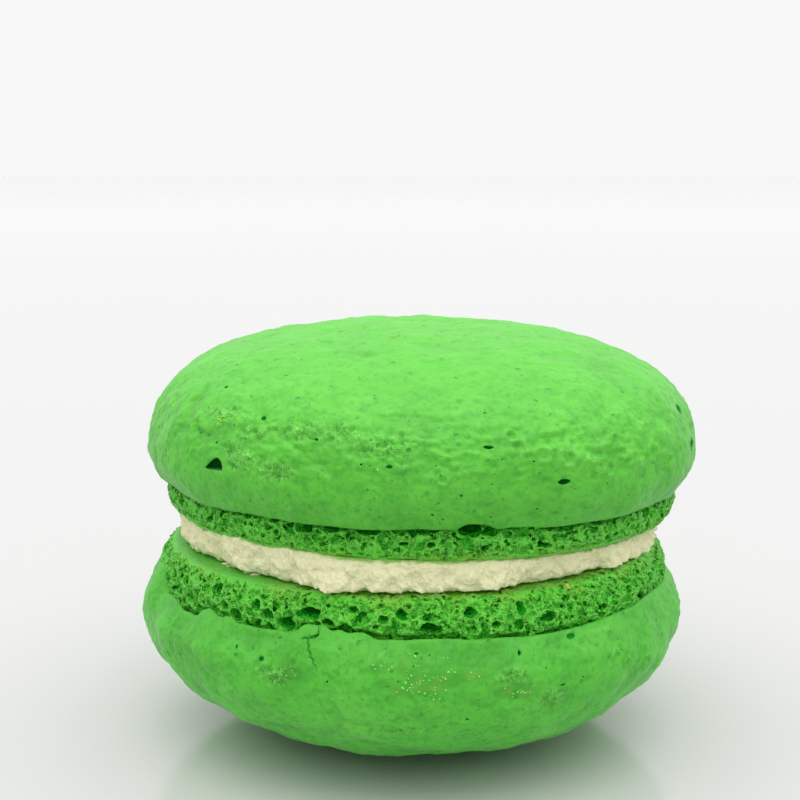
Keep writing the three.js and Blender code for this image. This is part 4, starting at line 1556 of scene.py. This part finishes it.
def new_material(name):
    """A material with an empty tree, its Principled shader and its Object coordinates."""
    material = bpy.data.materials.new(name)
    material.use_nodes = True
    tree = material.node_tree
    tree.nodes.clear()
    shader = add(tree, "BsdfPrincipled").node
    add(tree, "OutputMaterial", {"Surface": shader.outputs[0]})
    place = add(tree, "TexCoord", output="Object")
    return material, tree, shader, place


def surface(tree, shader, tone, roughness, relief_height, distance=MM):
    """Gives a shader its colour pattern, its roughness and its fine relief."""
    tree.links.new(tone, shader.inputs["Base Color"])
    shader.inputs["Roughness"].default_value = roughness
    bump = add(tree, "Bump", {"Height": relief_height, "Strength": 1.0, "Distance": distance})
    tree.links.new(bump, shader.inputs["Normal"])


def crust_material(settings):
    """Baked meringue crust: dull and slightly waxy, with a faint gloss where it is seen edge on."""
    material, tree, shader, place = new_material("baked meringue crust")
    base = Vector(settings.crust_colour)
    # a dark green painted into dents and bubbles as painted shade
    painted_pit_shade = linear("#0c8a10")
    blotches = add(tree, "TexNoise", {"Vector": place, "Scale": 1 / (4 * MM), "Detail": 2.0})
    tone = add(tree, "Mix", {0: blotches, 6: (*base * 0.88, 1), 7: (*base * 1.08, 1)},
               output=2, data_type="RGBA")
    # colours laid over the base in turn, each with how much of it shows
    layers = []
    # by height: the crust is painted a darker green from the upper crust's belly downwards, painted shade
    # under the upper dome, and the lower dome paler again towards the floor, painted light thrown up by the
    # floor
    level = add(tree, "SeparateXYZ", {0: place}, output="Z")
    for high, low, most, shade in ((24, 19, 0.26, linear("#2aa41c")), (12, 4, 0.85, linear("#5cdd34"))):
        layers.append((shade, add(tree, "MapRange", {
            "Value": level, "From Min": high * MM, "From Max": low * MM, "To Max": most,
        })))
    sides = add(tree, "MapRange", {
        "Value": level, "From Min": 33 * MM, "From Max": 28 * MM, "To Min": 0.4, "To Max": 1.0,
    })
    # the crests of the relief are painted pale, a painted highlight, and the hollows and dents painted dark,
    # painted shade
    raised = add(tree, "Attribute", output="Fac", attribute_name="raised")
    for low, high, most, shade in ((0.03, 0.26, 0.3, linear("#7bdc4c")), (-0.03, -0.26, 0.42, base * 0.55)):
        layers.append((shade, add(tree, "MapRange", {
            "Value": raised, "From Min": low, "From Max": high, "To Max": most,
        })))
    # the small dents of the mesh are painted dark green: painted shade in the dents
    pits = add(tree, "Attribute", output="Fac", attribute_name="pits")
    layers.append((painted_pit_shade, add(tree, "Math", {0: pits, 1: 0.3}, operation="MULTIPLY")))
    # moist spots, wide faint ones and small sharper ones
    for size, low, high, dark in ((1.6, 0.48, 0.68, 0.28), (0.75, 0.53, 0.64, 0.34), (0.4, 0.56, 0.67, 0.36)):
        spots = add(tree, "TexNoise", {"Vector": place, "Scale": 1 / (size * MM), "Detail": 2.0})
        spots = add(tree, "MapRange", {"Value": spots, "From Min": low, "From Max": high, "To Max": dark})
        spots = add(tree, "Math", {0: spots, 1: sides}, operation="MULTIPLY")
        layers.append((linear("#1f9a16"), spots))
    # burst bubbles of 0.1 to 0.3 mm, too small for the mesh: bowls in the bump, and painted darker inside, as
    # painted shade
    bent = bend_pattern(tree, place, 1 / (0.5 * MM), 2.0, 0.4 * MM)
    height = 0.0
    for spacing, rare, dark, deep in ((1.15, 0.35, 0.6, 0.08), (0.55, 0.55, 0.5, 0.04)):
        bowl = bowls_of(tree, bent, 1 / (spacing * MM), rare, 0.2, -0.03, 0.1,
                        interpolation_type="SMOOTHSTEP")
        layers.append((painted_pit_shade, add(tree, "Math", {0: bowl, 1: dark}, operation="MULTIPLY")))
        height = add(tree, "Math", {0: bowl, 1: -deep, 2: height}, operation="MULTIPLY_ADD")
    # pale wiggly crests in the coarse patches, a painted highlight, and tiny burst bubbles there and in spots
    # on the sides, painted dark inside as painted shade
    coarse = add(tree, "Attribute", output="Fac", attribute_name="coarse")
    crests = add(tree, "TexNoise", {"Vector": place, "Scale": 1 / (0.5 * MM), "Detail": 2.0})
    crests = add(tree, "Math", {0: crests, 1: 0.5}, operation="SUBTRACT")
    crests = add(tree, "Math", {0: crests}, operation="ABSOLUTE")
    crests = add(tree, "MapRange", {"Value": crests, "From Min": 0.06, "From Max": 0.01})
    crests = add(tree, "Math", {0: crests, 1: coarse}, operation="MULTIPLY")
    some = add(tree, "TexNoise", {"Vector": place, "Scale": 1 / (2.2 * MM), "Detail": 2.0})
    some = add(tree, "MapRange", {"Value": some, "From Min": 0.5, "From Max": 0.62, "To Max": 0.45})
    some = add(tree, "Math", {0: some, 1: sides}, operation="MULTIPLY")
    coarse = add(tree, "Math", {0: coarse, 1: some}, operation="MAXIMUM")
    bowls = bowls_of(tree, bent, 1 / (0.32 * MM), 0.3, 0.42, -0.03, 0.2)
    bowls = add(tree, "Math", {0: bowls, 1: coarse}, operation="MULTIPLY")
    for pattern, most, shade, deep in (
        (crests, 0.42, linear("#9cf474"), 0.04),
        (bowls, 0.75, painted_pit_shade, -0.04),
    ):
        layers.append((shade, add(tree, "Math", {0: pattern, 1: most}, operation="MULTIPLY")))
        height = add(tree, "Math", {0: pattern, 1: deep, 2: height}, operation="MULTIPLY_ADD")
    # melted sugar deepens the crust about its grains, and yellows it in places
    sugar = add(tree, "Attribute", output="Fac", attribute_name="sugar")
    melted = add(tree, "TexNoise", {"Vector": place, "Scale": 1 / (1.3 * MM), "Detail": 2.0})
    melted = add(tree, "MapRange", {"Value": melted, "From Min": 0.47, "From Max": 0.65, "To Max": 0.45})
    for shade, much in ((linear("#2c9c08"), 0.5), (linear("#7fae24"), melted)):
        layers.append((shade, add(tree, "Math", {0: sugar, 1: much}, operation="MULTIPLY")))
    # the walls of the open holes are painted a deeper green: painted shade inside the holes
    hole = add(tree, "Attribute", output="Fac", attribute_name="hole")
    layers.append((linear("#16b834"), hole))
    for shade, share in layers:
        tone = add(tree, "Mix", {0: share, 6: tone, 7: (*shade, 1)}, output=2, data_type="RGBA")
    shader.inputs["IOR"].default_value = 1.59
    shader.inputs["Sheen Weight"].default_value = 0.22
    shader.inputs["Sheen Roughness"].default_value = 0.3
    # grain of ground almond and the fine wrinkles of the skin
    for size, deep in ((0.2, 0.03), (0.7, 0.055)):
        grain = add(tree, "TexNoise", {"Vector": place, "Scale": 1 / (size * MM), "Detail": 2.0})
        height = add(tree, "Math", {0: grain, 1: deep, 2: height}, operation="MULTIPLY_ADD")
    surface(tree, shader, tone, 0.6, height)
    return material


def foot_material(settings):
    """Open meringue crumb: dull all over, with a fine web of walls, and yellower towards the buttercream."""
    material, tree, shader, place = new_material("open meringue crumb")
    base = Vector(settings.foot_colour)
    blotches = add(tree, "TexNoise", {"Vector": place, "Scale": 1 / (1.5 * MM), "Detail": 3.0})
    tone = add(tree, "Mix", {0: blotches, 6: (*base * 0.85, 1), 7: (*base * 1.12, 1)},
               output=2, data_type="RGBA")
    # butter and ground almond stain the crumb next to the filling
    over_face = add(tree, "Attribute", output="Fac", attribute_name="height")
    near_face = add(tree, "MapRange", {
        "Value": over_face, "From Min": 0.1, "From Max": 1.3, "To Min": 0.5, "To Max": 0.0,
    })
    stain = add(tree, "TexNoise", {"Vector": place, "Scale": 1 / (2.6 * MM), "Detail": 3.0})
    stain = add(tree, "MapRange", {"Value": stain, "From Min": 0.42, "From Max": 0.62})
    stain = add(tree, "Math", {0: stain, 1: near_face}, operation="MULTIPLY")
    tone = add(tree, "Mix", {0: stain, 6: tone, 7: (*linear("#8fb52a"), 1)}, output=2, data_type="RGBA")
    # the flat face beside the filling is baked smooth like a crust, and painted a darker green, olive where
    # it is crumbly
    flat = add(tree, "MapRange", {"Value": over_face, "From Min": 0.3, "From Max": 0.08, "To Max": 0.8})
    crumbly = add(tree, "Attribute", output="Fac", attribute_name="crumbly")
    smooth_face = add(tree, "Mix", {
        0: crumbly, 6: (*linear("#46a834"), 1), 7: (*linear("#649824"), 1),
    }, output=2, data_type="RGBA")
    tone = add(tree, "Mix", {0: flat, 6: tone, 7: smooth_face}, output=2, data_type="RGBA")
    # bubbles of 0.2 to 0.5 mm, too small for the mesh: bowls in the bump, and painted darker inside, as
    # painted shade
    bent = bend_pattern(tree, place, 1 / (0.6 * MM), 1.0, 0.35 * MM)
    open_crumb = add(tree, "MapRange", {
        "Value": over_face, "From Min": 0.15, "From Max": 0.7, "To Min": 0.15,
    })
    # little light reaches into the bubbles, and the crumb deep in them is painted a purer green: painted
    # shade
    depth = add(tree, "Attribute", output="Fac", attribute_name="depth")
    buried = add(tree, "MapRange", {"Value": depth, "From Min": 0.2, "From Max": 0.9, "To Max": 0.9})
    off_face = add(tree, "MapRange", {"Value": over_face, "From Min": 0.35, "From Max": 0.9})
    buried = add(tree, "Math", {0: buried, 1: off_face}, operation="MULTIPLY")
    tone = add(tree, "Mix", {0: buried, 6: tone, 7: (*linear("#20e42c"), 1)}, output=2, data_type="RGBA")
    height = 0.0
    for spacing, dark, deep in ((0.46, 0.35, 0.18), (0.25, 0.2, 0.07)):
        walls = add(tree, "TexVoronoi", {"Vector": bent, "Scale": 1 / (spacing * MM)},
                    output="Distance", feature="DISTANCE_TO_EDGE")
        bowl = add(tree, "MapRange", {
            "Value": walls, "From Min": 0.05, "From Max": 0.38,
        }, interpolation_type="SMOOTHSTEP")
        bowl = add(tree, "Math", {0: bowl, 1: open_crumb}, operation="MULTIPLY")
        share = add(tree, "Math", {0: bowl, 1: dark}, operation="MULTIPLY")
        tone = add(tree, "Mix", {0: share, 6: tone, 7: (*linear("#1c9a1c"), 1)}, output=2, data_type="RGBA")
        height = add(tree, "Math", {0: bowl, 1: -deep, 2: height}, operation="MULTIPLY_ADD")
    surface(tree, shader, tone, 0.48, height)
    return material


def buttercream_material(settings):
    """Buttercream: pale, dull and torn, with green crumb smeared along its upper edge."""
    material, tree, shader, place = new_material("torn buttercream")
    base = Vector(settings.cream_colour)
    blotches = add(tree, "TexNoise", {"Vector": place, "Scale": 1 / (1.2 * MM), "Detail": 3.0})
    tone = add(tree, "Mix", {0: blotches, 6: (*base * 0.94, 1), 7: (*base * 1.03, 1)},
               output=2, data_type="RGBA")
    share = add(tree, "Attribute", output="Fac", attribute_name="share")
    smear = add(tree, "TexNoise", {"Vector": place, "Scale": 1 / (1.1 * MM), "Detail": 3.0})
    share = add(tree, "Math", {0: smear, 1: 0.3, 2: share}, operation="MULTIPLY_ADD")
    smear = add(tree, "MapRange", {"Value": share, "From Min": 1.06, "From Max": 1.13, "To Max": 0.85})
    tone = add(tree, "Mix", {0: smear, 6: tone, 7: (*linear("#86bc3c"), 1)}, output=2, data_type="RGBA")
    grain = add(tree, "TexNoise", {"Vector": place, "Scale": 1 / (0.45 * MM), "Detail": 4.0})
    surface(tree, shader, tone, 0.55, grain, 0.34 * MM)
    return material


def plain_material(name, shade, roughness, ior=1.5):
    """A finish of one colour, without a pattern."""
    material, _tree, shader, _place = new_material(name)
    shader.inputs["Base Color"].default_value = (*shade, 1)
    shader.inputs["Roughness"].default_value = roughness
    shader.inputs["IOR"].default_value = ior
    return material


# ---------------------------------------------------------------- stage

FLOOR_RADIUS = 4.0  # metres
CAMERA_PLACE = (0.51, -124.35, 46.997)
CAMERA_DOWN = 0.15860773785327997
CAMERA_TURN = 0.013269072084014677
CAMERA_LENS = 68.02
# radiance of the studio: overhead, and low behind and in front of the object
SKY = {"top": 2.12, "back": 0.94, "front": 0.05, "aim": (0.02, -0.36, 0.933)}


class MACARON_OT_stage(bpy.types.Operator):
    """Makes the floor, the studio light and the camera"""

    bl_idname = "macaron.stage"
    bl_label = "Stage"

    def execute(self, context):
        scene = context.scene
        edge = ring(turn_angles(128), FLOOR_RADIUS, 0.0)
        floor = new_object("floor", new_mesh("floor", edge, [list(range(len(edge)))]))
        # a polished floor mirrors the object faintly
        floor.data.materials.append(plain_material("pale floor", scene.macaron.floor_colour, 0.15))

        world = bpy.data.worlds.new("studio")
        scene.world = world
        world.use_nodes = True
        tree = world.node_tree
        tree.nodes.clear()
        towards = add(tree, "TexCoord", output="Generated")
        parts = add(tree, "SeparateXYZ", {0: towards}).node.outputs
        horizon = add(tree, "MapRange", {
            "Value": parts["Y"], "From Min": -0.7, "From Max": 0.3,
            "To Min": SKY["front"], "To Max": SKY["back"],
        }, interpolation_type="SMOOTHSTEP")
        overhead = add(tree, "VectorMath", {0: towards, 1: SKY["aim"]}, output="Value",
                       operation="DOT_PRODUCT")
        overhead = add(tree, "Math", {0: overhead, 1: 0.0}, operation="MAXIMUM")
        overhead = add(tree, "Math", {0: overhead, 1: 2.3}, operation="POWER")
        strength = add(tree, "Math", {0: overhead, 1: SKY["top"], 2: horizon}, operation="MULTIPLY_ADD")
        sky = add(tree, "Background", {"Color": (1, 1, 1, 1), "Strength": strength})
        add(tree, "OutputWorld", {"Surface": sky})

        data = bpy.data.cameras.new("camera")
        data.lens = CAMERA_LENS
        data.sensor_width = 36
        data.clip_start = 0.01
        data.clip_end = 20
        camera = bpy.data.objects.new("camera", data)
        camera.location = Vector(CAMERA_PLACE) * MM
        camera.rotation_euler = (math.pi / 2 - CAMERA_DOWN, 0, CAMERA_TURN)
        scene.collection.objects.link(camera)
        scene.camera = camera
        scene.view_settings.view_transform = "Standard"
        return {"FINISHED"}


# ---------------------------------------------------------------- panel and registration


class MACARON_PT_panel(bpy.types.Panel):
    """Lists the sizes, the colours and the pieces"""

    bl_label = "Macaron"
    bl_space_type = "VIEW_3D"
    bl_region_type = "UI"
    bl_category = "Macaron"

    def draw(self, context):
        settings = context.scene.macaron
        column = self.layout.column()
        for name in MacaronSettings.__annotations__:
            if name not in ("lower", "upper"):
                column.prop(settings, name)
        for label, group in (("Lower shell", settings.lower), ("Upper shell", settings.upper)):
            column.label(text=label)
            for name in type(group).__annotations__:
                column.prop(group, name)
        for operator in OPERATORS:
            column.operator(operator.bl_idname)


OPERATORS = (
    MACARON_OT_stage, MACARON_OT_crusts, MACARON_OT_feet, MACARON_OT_buttercream, MACARON_OT_toppings,
)
CLASSES = (LowerShellSettings, UpperShellSettings, MacaronSettings, *OPERATORS, MACARON_PT_panel)


def register():
    for item in CLASSES:
        bpy.utils.register_class(item)
    bpy.types.Scene.macaron = PointerProperty(type=MacaronSettings)


def unregister():
    del bpy.types.Scene.macaron
    for item in reversed(CLASSES):
        bpy.utils.unregister_class(item)


def main():
    register()
    bpy.ops.macaron.stage()
    bpy.ops.macaron.crusts()
    bpy.ops.macaron.feet()
    bpy.ops.macaron.buttercream()
    bpy.ops.macaron.toppings()


if __name__ == "__main__":
    main()
